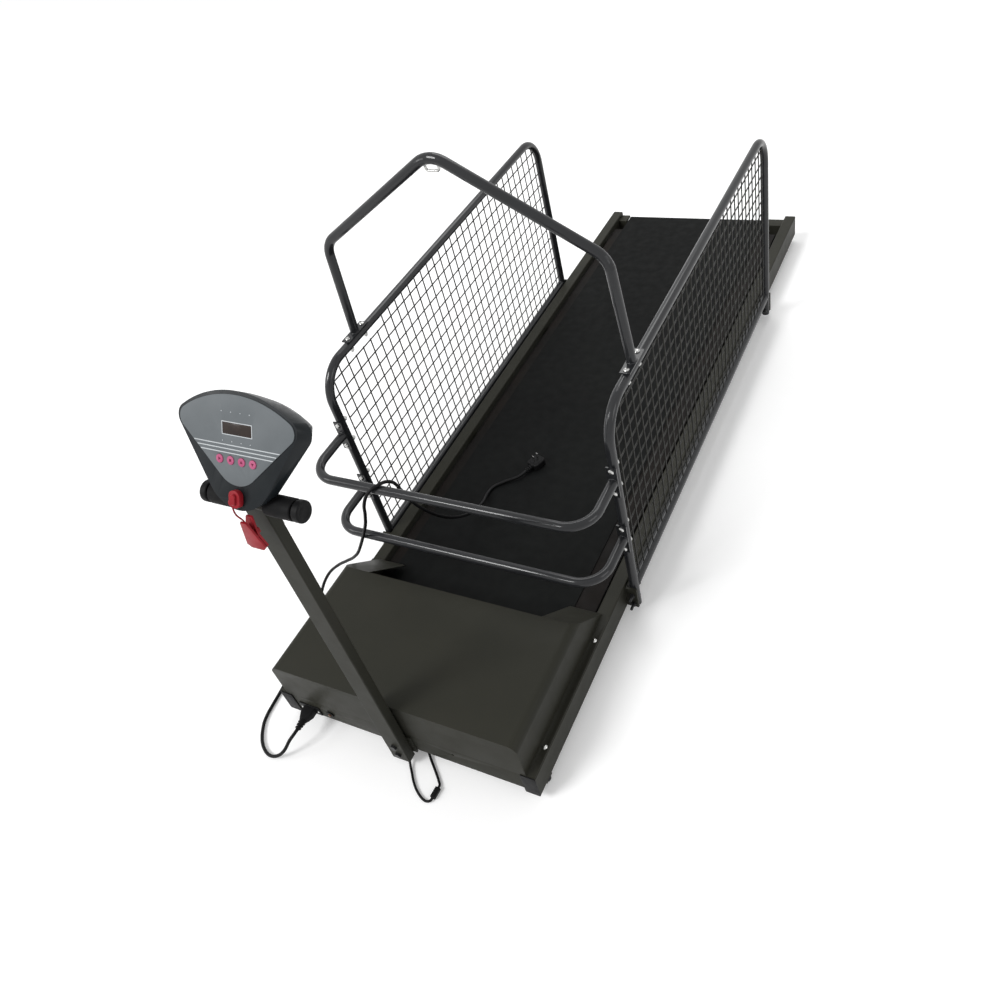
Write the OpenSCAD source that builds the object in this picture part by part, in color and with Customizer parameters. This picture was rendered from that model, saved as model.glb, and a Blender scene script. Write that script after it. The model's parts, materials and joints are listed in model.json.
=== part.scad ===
// Dog treadmill: low running frame with wire side guards, front bars, overhead hoop and a console post.
// +Z is up, +Y runs from the console end to the tail end, +X is the right-hand rail, the floor is z = 0.

/* [Frame] */
// Length of the two side rails
rail_l = 1895; // [1700:5:2100]
// Width over the outer faces of the rails
frame_w = 575; // [560:1:640]
// Width of a rail tube
rail_w = 30; // [26:1:36]
// Height of a rail tube
rail_h = 60; // [56:1:70]
// Wall of a rail tube
rail_wall = 2; // [1.5:0.1:3]
// Outer corner radius of a rail tube
rail_r = 3; // [2:0.5:5]
// Height of the rails above the floor
ground_gap = 20; // [18:1:30]
// Height of the front crossbar
crossbar_h = 50; // [46:1:56]
// Depth of the front crossbar
crossbar_d = 25; // [20:1:30]
// Length of a plug in a rail end
cap_plug = 14; // [8:1:25]
// Thickness of a rail end cap
cap_t = 2; // [1.5:0.5:4]

/* [Running surface] */
// Mean gap between an edge of the running belt and its rail
belt_gap = 42.5; // [39:0.5:55]
// Thickness of the running belt
belt_t = 1.8; // [1.4:0.1:2.5]
// Sideways set of the belt, which leaves room for the drive pulley
belt_shift = -10; // [-14:1:-6]
// Depth of the belt's top below the rail tops
belt_drop = 9; // [7:0.5:14]
// How far the belt's tail end stands out past the rails
belt_overhang = 6; // [3:1:9]
// Diameter of both rollers
roller_d = 40; // [38:0.5:44]
// Distance from the rail front to the front roller
front_roller_y = 235; // [232:1:250]
// Diameter of the roller axles
axle_d = 12; // [10:0.5:14]
// Thickness of the running deck
deck_t = 16; // [12:1:18]
// Gap between the running deck and a rail
deck_gap = 7.5; // [5:0.5:20]
// Height of the rubber deck cushions
cushion_h = 5; // [3:0.5:6]
// Height of a cross member
member_h = 15; // [12:1:16]
// Width of a cross member
member_w = 30; // [25:1:40]

/* [Hood] */
// Height of the hood above the rails
hood_h = 93; // [88:1:110]
// Length of the flat hood top
hood_l = 266; // [255:1:290]
// Length of the hood's sloped tail
hood_tail = 100; // [80:1:120]
// Set of the hood's side walls inside the rails' outer faces
hood_in = 17.5; // [14.5:0.5:22]
// Sheet thickness of the hood
hood_t = 1.5; // [1:0.1:2]
// Radius of the hood's long top bends
hood_r = 18; // [10:1:30]
// Width of the hood's tail on each side of its belt opening
hood_cheek = 70; // [55:1:80]

/* [Drive] */
// Diameter of the motor
motor_d = 84; // [76:1:88]
// Length of the motor
motor_l = 170; // [140:1:180]
// Distance from the rail front to the motor axis
motor_y = 110; // [100:1:120]
// Height of the motor axis above the rail tops
motor_up = 33; // [30:1:40]
// Diameter of the motor pulley
motor_pulley_d = 30; // [26:1:34]
// Diameter of the roller pulley
roller_pulley_d = 60; // [54:1:64]
// Width of the drive belt
drive_belt_w = 16; // [12:1:18]

/* [Guards] */
// Diameter of the bent tubes
tube_d = 19; // [16:0.5:22]
// Wall of the bent tubes
tube_wall = 1.5; // [1:0.1:2]
// Distance from the rail front to the front guard posts
guard_y = 458; // [440:1:480]
// Length of a guard between post centres
guard_l = 1035; // [950:5:1100]
// Height of the guard top rail above the rails
guard_h = 442; // [400:1:480]
// Bend radius of the guard corners
guard_r = 70; // [50:1:90]
// Gap between a guard tube and the rail's outer face
guard_gap = 5.5; // [4:0.5:9]
// Thickness of a guard wire
wire_d = 3; // [2:0.2:4]
// Mesh openings along a guard
mesh_n_y = 18; // [12:1:20]
// Mesh openings up a guard
mesh_n_z = 7; // [5:1:9]

/* [Front bars and hoop] */
// Height of the upper front bar above the rails
upper_bar_h = 296; // [270:1:310]
// Height of the lower front bar above the rails
lower_bar_h = 145; // [130:1:160]
// Reach of the front bars ahead of the guard posts
bar_reach = 135; // [110:1:160]
// Bend radius of the front bars
bar_r = 55; // [40:1:70]
// Distance from the rail front to the overhead hoop
hoop_y = 594; // [570:1:640]
// Height of the hoop's side bends above the guard top rail
hoop_side_h = 215; // [200:1:250]
// Height of the hoop's peak above the guard top rail
hoop_peak_h = 392; // [380:1:450]
// Inward lean of the hoop's legs at the side bends
hoop_lean = 16; // [0:1:25]
// Bend radius of the hoop
hoop_r = 50; // [35:1:60]

/* [Console] */
// Width of the console post
post_w = 40; // [34:1:46]
// Depth of the console post
post_d = 20; // [18:1:24]
// Height of the handle axis above the floor
handle_z = 723; // [690:1:760]
// Length of the handle
handle_l = 176; // [165:1:200]
// Diameter of the handle grips
grip_d = 32; // [28:1:34]
// Lean of the console face from upright
console_lean = 32; // [26:1:38]
// Depth of the console housing behind its face
console_depth = 46; // [42:1:52]
// Width of the display window
window_w = 51; // [44:1:60]
// Height of the display window
window_h = 16; // [12:1:20]
// Diameter of a console button
button_d = 11.6; // [10:0.2:13]
// Spacing of the console buttons
button_pitch = 19.5; // [17:0.5:22]
// Width of the safety key
key_w = 19; // [17:0.5:24]
// Height of the safety key
key_h = 24; // [20:1:28]

/* [Hidden] */
$fn = 48;

// Clearances
fit = 0.3;
running_fit = 0.05;
seat_fit = 0.02;
cut = 1;
dome_ratio = 0.68;

// Colours
frame_grey = [0.24, 0.24, 0.22];
tube_grey = [0.30, 0.31, 0.32];
black = [0.07, 0.07, 0.07];
charcoal = [0.20, 0.21, 0.23];
bright = [0.80, 0.80, 0.80];
zinc = [0.45, 0.44, 0.40];
red = [0.75, 0.15, 0.18];
pink = [0.86, 0.45, 0.58];
amber = [0.35, 0.22, 0.10];
deck_brown = [0.16, 0.13, 0.11];
motor_black = [0.12, 0.12, 0.13];
board_green = [0.10, 0.30, 0.18];
mesh_brown = [0.28, 0.26, 0.22];
film_grey = [0.44, 0.46, 0.48];
window_brown = [0.15, 0.13, 0.12];

// Heights and sideways places of the frame
rail_top = ground_gap + rail_h;
x_in = frame_w / 2 - rail_w;
x_out = frame_w / 2;
x_rail = frame_w / 2 - rail_w / 2;
belt_w = 2 * (x_in - belt_gap);
deck_w = 2 * (x_in - deck_gap);
belt_top = rail_top - belt_drop;
roller_z = belt_top - belt_t - roller_d / 2;
deck_top = belt_top - belt_t - fit;
member_top = deck_top - deck_t - cushion_h;
rear_roller_y = rail_l + belt_overhang - roller_d / 2 - belt_t;
drum_over = 4;
drum_x0 = belt_shift - belt_w / 2 - drum_over;
drum_x1 = belt_shift + belt_w / 2 + drum_over;

// Rollers and their bearings
bearing_d = 30;
bearing_l = 12;
bearing_set = 2;
hub_d = bearing_d + 8;
front_bracket_t = 5;
front_bracket_w = 40;
front_bracket_h = 40;
rear_bracket_gap = 2.5;
right_bracket_w = x_in - drum_x1 - rear_bracket_gap;
left_bracket_w = x_in + drum_x0 - rear_bracket_gap;
rear_bracket_l = 36;
rear_bracket_h = 46;
rear_bracket_t = 3;
rear_bracket_top = rail_top - 10;
rear_bracket_y1 = rail_l - 1;

// Wheels and feet
wheel_d = ground_gap - 2;
wheel_w = 18;
wheel_bolt_d = 6;
wheel_boss_d = 12;
wheel_head_d = 10;
wheel_head_h = 2.5;
wheel_y = 40;
wheel_cheek_t = 2.5;
wheel_cheek_l = 22;
foot_d = 24;
foot_tip_d = 20;
foot_x = x_rail - 2;
foot_y = rail_l - 60;

// Deck and cross members
deck_y0 = 300;
deck_y1 = rail_l - 85;
member_n = 4;
member_inset = 60;
member_wall = 1.5;
member_step = (deck_y1 - deck_y0 - 2 * member_inset) / (member_n - 1);
cushion_d = 24;
cushion_x = deck_w / 2 - 30;

// Hood
hood_half = x_out - hood_in;
hood_gap_half = hood_half - hood_cheek;
hood_screw_x = (hood_half + x_out) / 2;
hood_screw_y0 = 62;
hood_screw_y1 = 301;
hood_screw_d = 5;
hood_screw_head_d = 10;
hood_screw_head_h = 3;
hood_edge = 1;
hood_lip_in = 4;

// Drive
motor_z = rail_top + motor_up;
pulley_x = drum_x1 + 9;
pulley_edge = 3;
pulley_rim = 3;
pulley_w = drive_belt_w + 2 * pulley_edge;
motor_x1 = 110;
motor_x0 = motor_x1 - motor_l;
motor_bell_l = 14;
motor_bell_d = motor_d - 6;
shaft_d = 14;
shaft_gap = 2;
shaft_bore_l = 40;
flywheel_d = 76;
flywheel_w = 18;
flywheel_x = motor_x1 + 20;
drive_belt_t = 3;
tray_t = 3;
tray_y0 = crossbar_d + 2;
tray_y1 = front_roller_y - roller_d / 2 - belt_t - 18;
tray_z = ground_gap + 24;
tray_slot = 4;
saddle_t = 12;
saddle_w = 60;
saddle_in = 30;
saddle_top = motor_z - motor_d / 4;
board_l = 140;
board_w = 100;
board_t = 2;
board_set = 3.75;
board_x = (motor_x0 - x_in) / 2 + board_set;
board_y = 95;
board_stand = 6;
stand_d = 8;
stand_in = 8;
sink_h = 30;
sink_base = 4;
sink_half = 35;
fin_n = 6;
fin_t = 4;
fin_pitch = 10;
fin_x0 = board_x - 50;
can_x = board_x + 40;
can_y = 22;
can_d = 24;
can_h = 34;

// Mains inlet and breaker, on the front of the crossbar
inlet_in = 34.5;
inlet_x = inlet_in - x_in;
inlet_z = ground_gap + 27;
inlet_w = 30;
inlet_h = 22;
inlet_flange_w = 50;
inlet_flange_t = 2.5;
inlet_depth = 20;
inlet_floor = 3;
inlet_lip = 2;
inlet_screw_pitch = 40;
inlet_screw_d = 6;
inlet_screw_h = 2;
spare_hole_x = 115;
spare_hole_z = ground_gap + 41;
spare_hole_d = 6;
breaker_in = 85.5;
breaker_x = breaker_in - x_in;
breaker_z = ground_gap + 31;
breaker_d = 12;
breaker_nut_d = 17;
breaker_nut_t = 3;
breaker_button_d = 7;
breaker_button_out = 2;
breaker_button_in = 8;
breaker_travel = 4;
breaker_bore = breaker_button_in + breaker_travel;
connector_l = 28;
connector_w = 26;
connector_h = 18;
relief_l = 24;
cord_d = 7;
relief_root_d = connector_h - 3;
relief_tip_d = cord_d + 2;
cable_d = 5;
key_cord_d = 2.4;

// Guards
tube_r = tube_d / 2;
x_guard = x_out + guard_gap + tube_r;
guard_top = rail_top + guard_h;
guard_low = rail_top - 8;
post_foot = ground_gap - 3;
lug_t = 5;
lug_plate_t = 3;
lug_plate_l = 24;
lug_h = 54;
lug_z = ground_gap;
lug_bolt_z = [lug_z + 10, lug_z + 36.5];
lug_tail = 12;
m6 = 6;
m6_head_d = 11;
m6_head_h = 4;
m6_nut_h = 5;
m6_nut_d = 11;
m6_tail = 3;
m8 = 8;
m8_head_d = 14;
m8_head_h = 5;
m8_tail = 7;
wheel_bolt_tail = 2;
saddle_plate_w = 20;
saddle_plate_h = 72;
vent_d = 8;
saddle_plate_t = 3;
saddle_bolt = 27;
hoop_z0 = guard_top + tube_r + saddle_plate_t + fit;

// Hoop line in the XZ plane, and the staple eye under its peak
hoop_x = x_guard - hoop_lean;
hoop_line = [[-x_guard, hoop_z0], [-hoop_x, guard_top + hoop_side_h], [0, guard_top + hoop_peak_h],
    [hoop_x, guard_top + hoop_side_h], [x_guard, hoop_z0]];
hoop_slope = atan2(hoop_peak_h - hoop_side_h, hoop_x);
peak_under = guard_top + hoop_peak_h - hoop_r / cos(hoop_slope) + hoop_r - tube_r;
eye_wire = 5;
eye_half = 13;
eye_drop = 12;
eye_r = 6;
eye_out = eye_half + eye_wire / 2;
hoop_in_r = hoop_r - tube_r;
eye_top = floor(2 * (peak_under - hoop_in_r + sqrt(hoop_in_r * hoop_in_r - eye_out * eye_out) - fit)) / 2;
eye_bar_z = round(peak_under - eye_drop);
hoop_sides = 24;
hoop_steps = 8;

// Console post and handle
post_gap = 4;
post_foot_z = ground_gap - 3;
post_y1 = -post_gap;
post_y0 = -post_gap - post_d;
post_wall = 2;
handle_x = 4;
handle_y = -18;
handle_tube_d = 22;
handle_wall = 1.5;
grip_gap_half = 26;
grip_cap_l = 12;
grip_cap_gap = 2;
grip_plug_l = 12;
tab_w = 30;
tab_t = 3;
tab_drop = 60;
post_r = 2.5;
post_bolt_z = [ground_gap + 16, ground_gap + 44];
post_pad_half = post_w / 2 + 8;
post_pad_z0 = post_foot_z + 8;
post_pad_z1 = rail_top - 4;

// Console face, in its own frame: x across, y up the face, z out of the face
face_y = -25;
face_z = handle_z + 37;
tab_top = face_z - 12;
shell_t = 2.5;
shell_mid = 20;
shell_back_in = 14;
face_corner = [86, 82];
face_corner_r = 18;
face_top = 126;
face_low_r = 60;
face_low_y = 24;
mid_corner = [92, 77];
mid_corner_r = 19;
mid_top = 121;
mid_low_r = 66;
mid_low_y = 32;
film = 0.01;
overlay_corner = [84, 81];
overlay_corner_r = 16;
overlay_top = 120.5;
overlay_low_r = 42;
overlay_low_y = 40;
overlay_t = 1.2;
window_x = 3;
window_y = 75;
window_t = 3;
button_y = 32;
button_rise = 1.2;
button_gap = 0.3;
button_flange = 1.6;
key_y = -19;
key_t = 8;
key_r = 8;
key_ear_d = 10;
key_ear_t = 4.5;
key_stem_d = 10;
key_stem_l = 8;
key_lift = 0.4;
panel_t = 1.6;
panel_z = -12;
panel_w = 100;
panel_h = 74;
panel_y = 54;
panel_post_x = 42;
panel_post_y = [24, 84];
panel_post_d = 7;
screen_in = 2;
switch_d = 6;
switch_h = 3;
button_rim = 1.5;
button_depth = 7;

// Origin: middle of the length between the safety key's front and the belt's tail end, on the floor
key_front = face_y + key_y * sin(console_lean)
    - (key_lift + key_t) * cos(console_lean) - key_h / 2 * sin(console_lean);
y_mid = (rail_l + belt_overhang + key_front) / 2;
floor_y = -y_mid;

// Route of the mains cord, from the connector's relief to the plug, in the rails' frame
plug_at = [-58, 706, 79];
mains_route = [[inlet_x, -connector_l - relief_l, inlet_z], [inlet_x - 1.5, -63.5, 45.5],
    [inlet_x - 6, -76, 40], [inlet_x - 14.5, -89.5, 25], [inlet_x - 27, -99, 13], [-267, -104.5, 6],
    [-286, -102, 4], [-308, -88, 4], [-328, -62, 4], [-341, -28, 4], [-350, 50, 4],
    [-368, 140, 4], [-392, 225, 4.5], [-406, 272, 10], [-408, 302, 26], [-390, 318, 52],
    [-354, 322, 84], [-318, 319, 112], [-284, 315, 140], [-252, 311, 178], [-196, 304, 270],
    [-174.5, 300.5, 317], [-161, 296, 350.5], [-150, 299.5, 374.5], [-140.5, 309.5, 386.5],
    [-130, 321.5, 390], [-122.5, 336.5, 387], [-115.5, 349.5, 374], [-111, 357, 346.5],
    [-105, 369, 300.5], [-98, 397, 245], [-95, 432, 196], [-98, 478, 149], [-101, 530, 112],
    [-109, 580, 88], [-119, 620, 76], [-114, 646, 75], [-91, 669, 75.6], [-68, 686, 78.4],
    plug_at];

// Route of the console cable: post foot to connector, connector to the motor tray
cable_route_1 = [[8, -8.4, 34], [8, -9, 26], [9, -11.5, 17], [12, -17, 9.5], [18, -26, 4.5], [27, -37, 3],
    [38, -50, 3], [52, -63, 3], [68, -73, 3], [81, -77, 3.5], [89, -74, 4.5], [91, -68, 5]];
cable_route_2 = [[92, -46, 5], [91, -40, 4], [86, -34, 3], [76, -24, 3], [64, -13, 3], [52, -2, 3.5],
    [42, 8, 6], [35, 18, 13], [31, 28, 24], [30, 34, 34], [30, 36, 44]];
cable_plug_a = [91, -68, 5];
cable_plug_b = [92, -46, 5];
cable_plug_w = 10;
cable_plug_h = 8;

// Route of the safety key's cord
key_cord_route = [[-9.5, -41.2, 738], [-9.2, -43.4, 734.2], [-8.2, -45.6, 730.6], [-6.2, -47.6, 727],
    [-3.2, -49, 723.8], [0.4, -49.6, 721.4], [3.6, -49.6, 718.6], [5, -49.3, 714.6], [5, -49, 710]];

// Safety clip, hanging from the key's cord
clip_at = [5, -49, 714];
clip_l = 52;
clip_w = 11;
clip_wide = 34;
clip_tip = 6;
clip_t = 3.2;
clip_gap = 1;
clip_lever = 9;
clip_pin_d = 3;
clip_pin_drop = 24;
clip_pin_y = clip_gap / 2 + clip_t + 3.5;
clip_pin_half = 8;
clip_ear_x = 6;
clip_ear_t = 3;
clip_ear_h = 8;
clip_slot_t = 4;
clip_slot_h = 15;
clip_hub_half = 3.5;
clip_hub_d = 6;

// Plug on the belt, lying on its back with its blades up
plug_turn = -20;
plug_l = 34;
plug_w = 32;
plug_h = 2 * (plug_at[2] - belt_top - fit);
plug_r = 7;
plug_relief_l = 20;
plug_relief_d = plug_h - 3;
blade_l = 17;
blade_w = 6.3;
blade_t = 1.6;
blade_pitch = 12.7;

// Helpers: placing

module in_rails() {
    translate([0, floor_y, 0]) children();
}

module both_sides() {
    children();
    mirror([1, 0, 0]) children();
}

// A profile drawn in X and Z, run along Y
module along_y(y0, y1) {
    translate([0, y1, 0]) rotate([90, 0, 0]) linear_extrude(y1 - y0) children();
}

// A profile drawn in Y and Z, run along X
module along_x(x0, x1) {
    translate([x0, 0, 0]) rotate([90, 0, 90]) linear_extrude(x1 - x0) children();
}

module rod_x(x0, x1, y, z, d) {
    translate([x0, y, z]) rotate([0, 90, 0]) cylinder(h = x1 - x0, d = d);
}

module rod_y(x, y0, y1, z, d) {
    translate([x, y0, z]) rotate([-90, 0, 0]) cylinder(h = y1 - y0, d = d);
}

module block(x0, x1, y0, y1, z0, z1) {
    translate([x0, y0, z0]) cube([x1 - x0, y1 - y0, z1 - z0]);
}

module on_face() {
    translate([0, face_y, face_z]) rotate([90 - console_lean, 0, 0]) children();
}

// Helpers: sections

module round_rect(w, h, r) {
    square([w - 2 * r, h], center = true);
    square([w, h - 2 * r], center = true);
    for (sx = [-1, 1], sy = [-1, 1])
        translate([sx * (w / 2 - r), sy * (h / 2 - r)]) circle(r);
}

// A closed belt of the given thickness round two pulleys, run along Z
module band(a, ra, b, rb, t, w) {
    turn = atan2(b[1] - a[1], b[0] - a[0]);
    tip = acos((ra - rb) / norm(b - a));
    translate([a[0], a[1], 0]) rotate([0, 0, turn + tip]) rotate_extrude(angle = 360 - 2 * tip)
        translate([ra, 0]) square([t, w]);
    translate([b[0], b[1], 0]) rotate([0, 0, turn - tip]) rotate_extrude(angle = 2 * tip)
        translate([rb, 0]) square([t, w]);
    for (side = [turn + tip, turn - tip]) {
        n = [cos(side), sin(side)];
        linear_extrude(w) polygon([a + ra * n, b + rb * n, b + (rb + t) * n, a + (ra + t) * n]);
    }
}

function arc(c, r, a0, a1, n) =
    [for (i = [0:n]) let (a = a0 + (a1 - a0) * i / n) c + r * [cos(a), sin(a)]];

// Shield outline: two round corners, an arched top tangent to them and a round bottom
function shield(corner, r, top, low_r, low_y, grow = 0) =
    let (
        rise = top - corner[1],
        arch_r = (corner[0] * corner[0] + rise * rise - r * r) / (2 * (rise - r)),
        arch_y = top - arch_r,
        arch_a = atan2(corner[1] - arch_y, corner[0]),
        run = [corner[0], corner[1] - low_y],
        side_a = atan2(run[1], run[0]) - 90 + asin((low_r - r) / norm(run))
    )
    concat(
        arc(corner, r + grow, side_a, arch_a, 14),
        arc([0, arch_y], arch_r + grow, arch_a, 180 - arch_a, 24),
        arc([-corner[0], corner[1]], r + grow, 180 - arch_a, 180 - side_a, 14),
        arc([0, low_y], low_r + grow, 180 - side_a, 360 + side_a, 20));

module face_plan(grow = 0) {
    polygon(shield(face_corner, face_corner_r, face_top, face_low_r, face_low_y, grow));
}

module mid_plan(grow = 0) {
    polygon(shield(mid_corner, mid_corner_r, mid_top, mid_low_r, mid_low_y, grow));
}

module overlay_plan(grow = 0) {
    polygon(shield(overlay_corner, overlay_corner_r, overlay_top, overlay_low_r, overlay_low_y, grow));
}

// Helpers: bent tubes in the XY plane

function unit(v) = v / norm(v);
function heading(v) = atan2(v[1], v[0]);
function turn_at(p, i) =
    let (a = heading(p[i + 1] - p[i]) - heading(p[i] - p[i - 1])) a > 180 ? a - 360 : a < -180 ? a + 360 : a;
function take_up(p, i, r) = i == 0 || i == len(p) - 1 ? 0 : r * tan(abs(turn_at(p, i)) / 2);

module bent_rod(p, r, d) {
    for (i = [0:len(p) - 2]) {
        u = unit(p[i + 1] - p[i]);
        a = p[i] + u * take_up(p, i, r);
        b = p[i + 1] - u * take_up(p, i + 1, r);
        translate([a[0], a[1], 0]) rotate([0, 0, heading(u)]) rotate([0, 90, 0])
            cylinder(h = norm(b - a), d = d);
    }
    for (i = [1:len(p) - 2]) {
        u = unit(p[i] - p[i - 1]);
        b = p[i] - u * take_up(p, i, r);
        turn = turn_at(p, i);
        side = sign(turn);
        centre = b + r * side * [-u[1], u[0]];
        start = heading(u) - 90 * side;
        translate([centre[0], centre[1], 0]) rotate([0, 0, turn > 0 ? start : start + turn])
            rotate_extrude(angle = abs(turn)) translate([r, 0]) circle(d = d);
    }
}

function lengthen(p, by) =
    let (n = len(p) - 1)
    concat([p[0] - unit(p[1] - p[0]) * by], [for (i = [1:n - 1]) p[i]],
        [p[n] + unit(p[n] - p[n - 1]) * by]);

module bent_tube(p, r, d, wall) {
    difference() {
        bent_rod(p, r, d);
        bent_rod(lengthen(p, cut), r, d - 2 * wall);
    }
}

// Points of a bent line in the XY plane, with each bend in equal steps
function bend_points(p, i, r, steps) =
    let (
        u = unit(p[i] - p[i - 1]),
        turn = turn_at(p, i),
        side = sign(turn),
        centre = p[i] - u * take_up(p, i, r) + r * side * [-u[1], u[0]],
        start = heading(u) - 90 * side
    )
    [for (k = [0:steps]) let (a = start + turn * k / steps) centre + r * [cos(a), sin(a)]];
function rounded_line(p, r, steps) =
    concat([p[0]], [for (i = [1:len(p) - 2]) each bend_points(p, i, r, steps)], [p[len(p) - 1]]);

// Hollow tube along a line in the XY plane, cut level with the X axis at both ends
module swept_tube(p, d, wall, sides) {
    m = len(p);
    n = [for (i = [0:m - 1]) i == 0 ? [-1, 0] : i == m - 1 ? [1, 0] :
        let (t = unit(unit(p[i + 1] - p[i]) + unit(p[i] - p[i - 1]))) [-t[1], t[0]]];
    pts = [for (r = [d / 2, d / 2 - wall], i = [0:m - 1], k = [0:sides - 1])
        let (a = 360 * k / sides, q = p[i] + r * cos(a) * n[i]) [q[0], q[1], r * sin(a)]];
    quads = concat(
        [for (i = [0:m - 2], k = [0:sides - 1])
            let (a = i * sides + k, b = i * sides + (k + 1) % sides) [a, b, b + sides, a + sides]],
        [for (i = [0:m - 2], k = [0:sides - 1])
            let (a = (m + i) * sides + k, b = (m + i) * sides + (k + 1) % sides)
            [a, a + sides, b + sides, b]],
        [for (k = [0:sides - 1])
            let (a = k, b = (k + 1) % sides) [a, a + m * sides, b + m * sides, b]],
        [for (k = [0:sides - 1])
            let (a = (m - 1) * sides + k, b = (m - 1) * sides + (k + 1) % sides)
            [a, b, b + m * sides, a + m * sides]]);
    polyhedron(points = pts, faces = [for (f = quads) each [[f[0], f[2], f[1]], [f[0], f[3], f[2]]]]);
}

// Helpers: swept cords

function mid_point(p, i) =
    let (n = len(p) - 1, a = p[max(i - 1, 0)], b = p[i], c = p[i + 1], d = p[min(i + 2, n)])
    (-a + 9 * b + 9 * c - d) / 16;
function doubled(p) =
    concat([for (i = [0:len(p) - 2], k = [0, 1]) k == 0 ? p[i] : mid_point(p, i)], [p[len(p) - 1]]);
function along(p, i) = unit(p[min(i + 1, len(p) - 1)] - p[max(i - 1, 0)]);
function square_to(v, t) = unit(v - (v * t) * t);
function sides_of(p, i, v) = i == len(p) ? [] :
    let (n = square_to(v, along(p, i))) concat([n], sides_of(p, i + 1, n));

module swept_cord(p, d, sides, first_side) {
    n = sides_of(p, 0, first_side);
    m = len(p);
    pts = [for (i = [0:m - 1], k = [0:sides - 1])
        p[i] + d / 2 * (cos(360 * k / sides) * n[i] + sin(360 * k / sides) * cross(along(p, i), n[i]))];
    walls = [for (i = [0:m - 2], k = [0:sides - 1], h = [0, 1])
        let (a = i * sides + k, b = i * sides + (k + 1) % sides)
        h == 0 ? [a, b, b + sides] : [a, b + sides, a + sides]];
    fans = [for (k = [1:sides - 2], h = [0, 1])
        h == 0 ? [0, k + 1, k] : [(m - 1) * sides, (m - 1) * sides + k, (m - 1) * sides + k + 1]];
    // Faces wind clockwise seen from outside
    polyhedron(points = pts, faces = [for (f = concat(walls, fans)) [f[0], f[2], f[1]]]);
}

// Helpers: fasteners, with the head at the origin and the shank along +Z

module dome_head(d, h) {
    intersection() {
        cylinder(h = h, d = d);
        translate([0, 0, h - d * dome_ratio]) sphere(d * dome_ratio);
    }
}

module dome_bolt(d, head_d, head_h, l) {
    mirror([0, 0, 1]) dome_head(head_d, head_h);
    cylinder(h = l, d = d);
}

module hex_bolt(d, head_d, head_h, l) {
    mirror([0, 0, 1]) cylinder(h = head_h, d = head_d, $fn = 6);
    cylinder(h = l, d = d);
}

module hex_nut(d, nut_d, nut_h) {
    difference() {
        cylinder(h = nut_h, d = nut_d, $fn = 6);
        translate([0, 0, -cut]) cylinder(h = nut_h + 2 * cut, d = d + 2 * seat_fit);
    }
}

// A bolt with its nut, through a stack of the given thickness
module through_bolt(stack, tail) {
    dome_bolt(m6, m6_head_d, m6_head_h, stack + m6_nut_h + tail);
    translate([0, 0, stack]) hex_nut(m6, m6_nut_d, m6_nut_h);
}

// Running frame

module rail_section() {
    difference() {
        round_rect(rail_w, rail_h, rail_r);
        square([rail_w - 2 * rail_wall, rail_h - 2 * rail_wall], center = true);
    }
}

// Angle lug that carries a front guard post: a plate on the rail and a flange ahead of the post
module guard_lug(y_post) {
    y_flange = y_post - tube_r - fit - lug_t;
    difference() {
        union() {
            block(x_out, x_out + lug_plate_t, y_flange, y_flange + lug_plate_l, lug_z, lug_z + lug_h);
            block(x_out, x_guard + tube_r, y_flange, y_flange + lug_t, lug_z, lug_z + lug_h);
        }
        for (z = lug_bolt_z) rod_y(x_guard, y_flange - cut, y_flange + lug_t + cut, z, m6 + 2 * fit);
    }
}

// Two cheeks under the rail that carry the wheel's bolt
module wheel_cheeks() {
    for (x = [x_rail - wheel_w / 2 - fit - wheel_cheek_t, x_rail + wheel_w / 2 + fit])
        difference() {
            union() {
                block(x, x + wheel_cheek_t, wheel_y - wheel_cheek_l / 2, wheel_y + wheel_cheek_l / 2,
                    wheel_d / 2, ground_gap);
                rod_x(x, x + wheel_cheek_t, wheel_y, wheel_d / 2, wheel_boss_d);
            }
            rod_x(x - cut, x + wheel_cheek_t + cut, wheel_y, wheel_d / 2, wheel_bolt_d + 2 * seat_fit);
        }
}

module one_rail() {
    color(frame_grey) in_rails() {
        translate([x_rail, 0, ground_gap + rail_h / 2]) along_y(0, rail_l) rail_section();
        guard_lug(guard_y);
        translate([0, 2 * guard_y + guard_l, 0]) mirror([0, 1, 0]) guard_lug(guard_y);
        wheel_cheeks();
    }
}

module right_rail() {
    one_rail();
}

module left_rail() {
    mirror([1, 0, 0]) one_rail();
}

module end_cap() {
    along_y(-cap_t, 0) round_rect(rail_w, rail_h, rail_r);
    along_y(0, cap_plug)
        square([rail_w - 2 * rail_wall - 2 * fit, rail_h - 2 * rail_wall - 2 * fit], center = true);
}

module rail_end_caps() {
    color(black) in_rails() both_sides() {
        translate([x_rail, 0, ground_gap + rail_h / 2]) end_cap();
        translate([x_rail, rail_l, ground_gap + rail_h / 2]) mirror([0, 1, 0]) end_cap();
    }
}

module front_crossbar() {
    z0 = rail_top - crossbar_h;
    color(frame_grey) in_rails() difference() {
        union() {
            difference() {
                block(-x_in, x_in, 0, crossbar_d, z0, rail_top);
                block(-x_in - cut, x_in + cut, rail_wall, crossbar_d - rail_wall,
                    z0 + rail_wall, rail_top - rail_wall);
            }
            block(-post_pad_half, post_pad_half, -post_gap, 0, post_pad_z0, post_pad_z1);
        }
        block(inlet_x - inlet_w / 2 - fit, inlet_x + inlet_w / 2 + fit, -cut, crossbar_d + cut,
            inlet_z - inlet_h / 2 - fit, inlet_z + inlet_h / 2 + fit);
        rod_y(breaker_x, -cut, crossbar_d + cut, breaker_z, breaker_d + 2 * fit);
        for (z = post_bolt_z) rod_y(0, -post_gap - cut, crossbar_d + cut, z, m8 + 2 * fit);
        rod_y(spare_hole_x, -cut, rail_wall + cut, spare_hole_z, spare_hole_d);
    }
}

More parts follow.
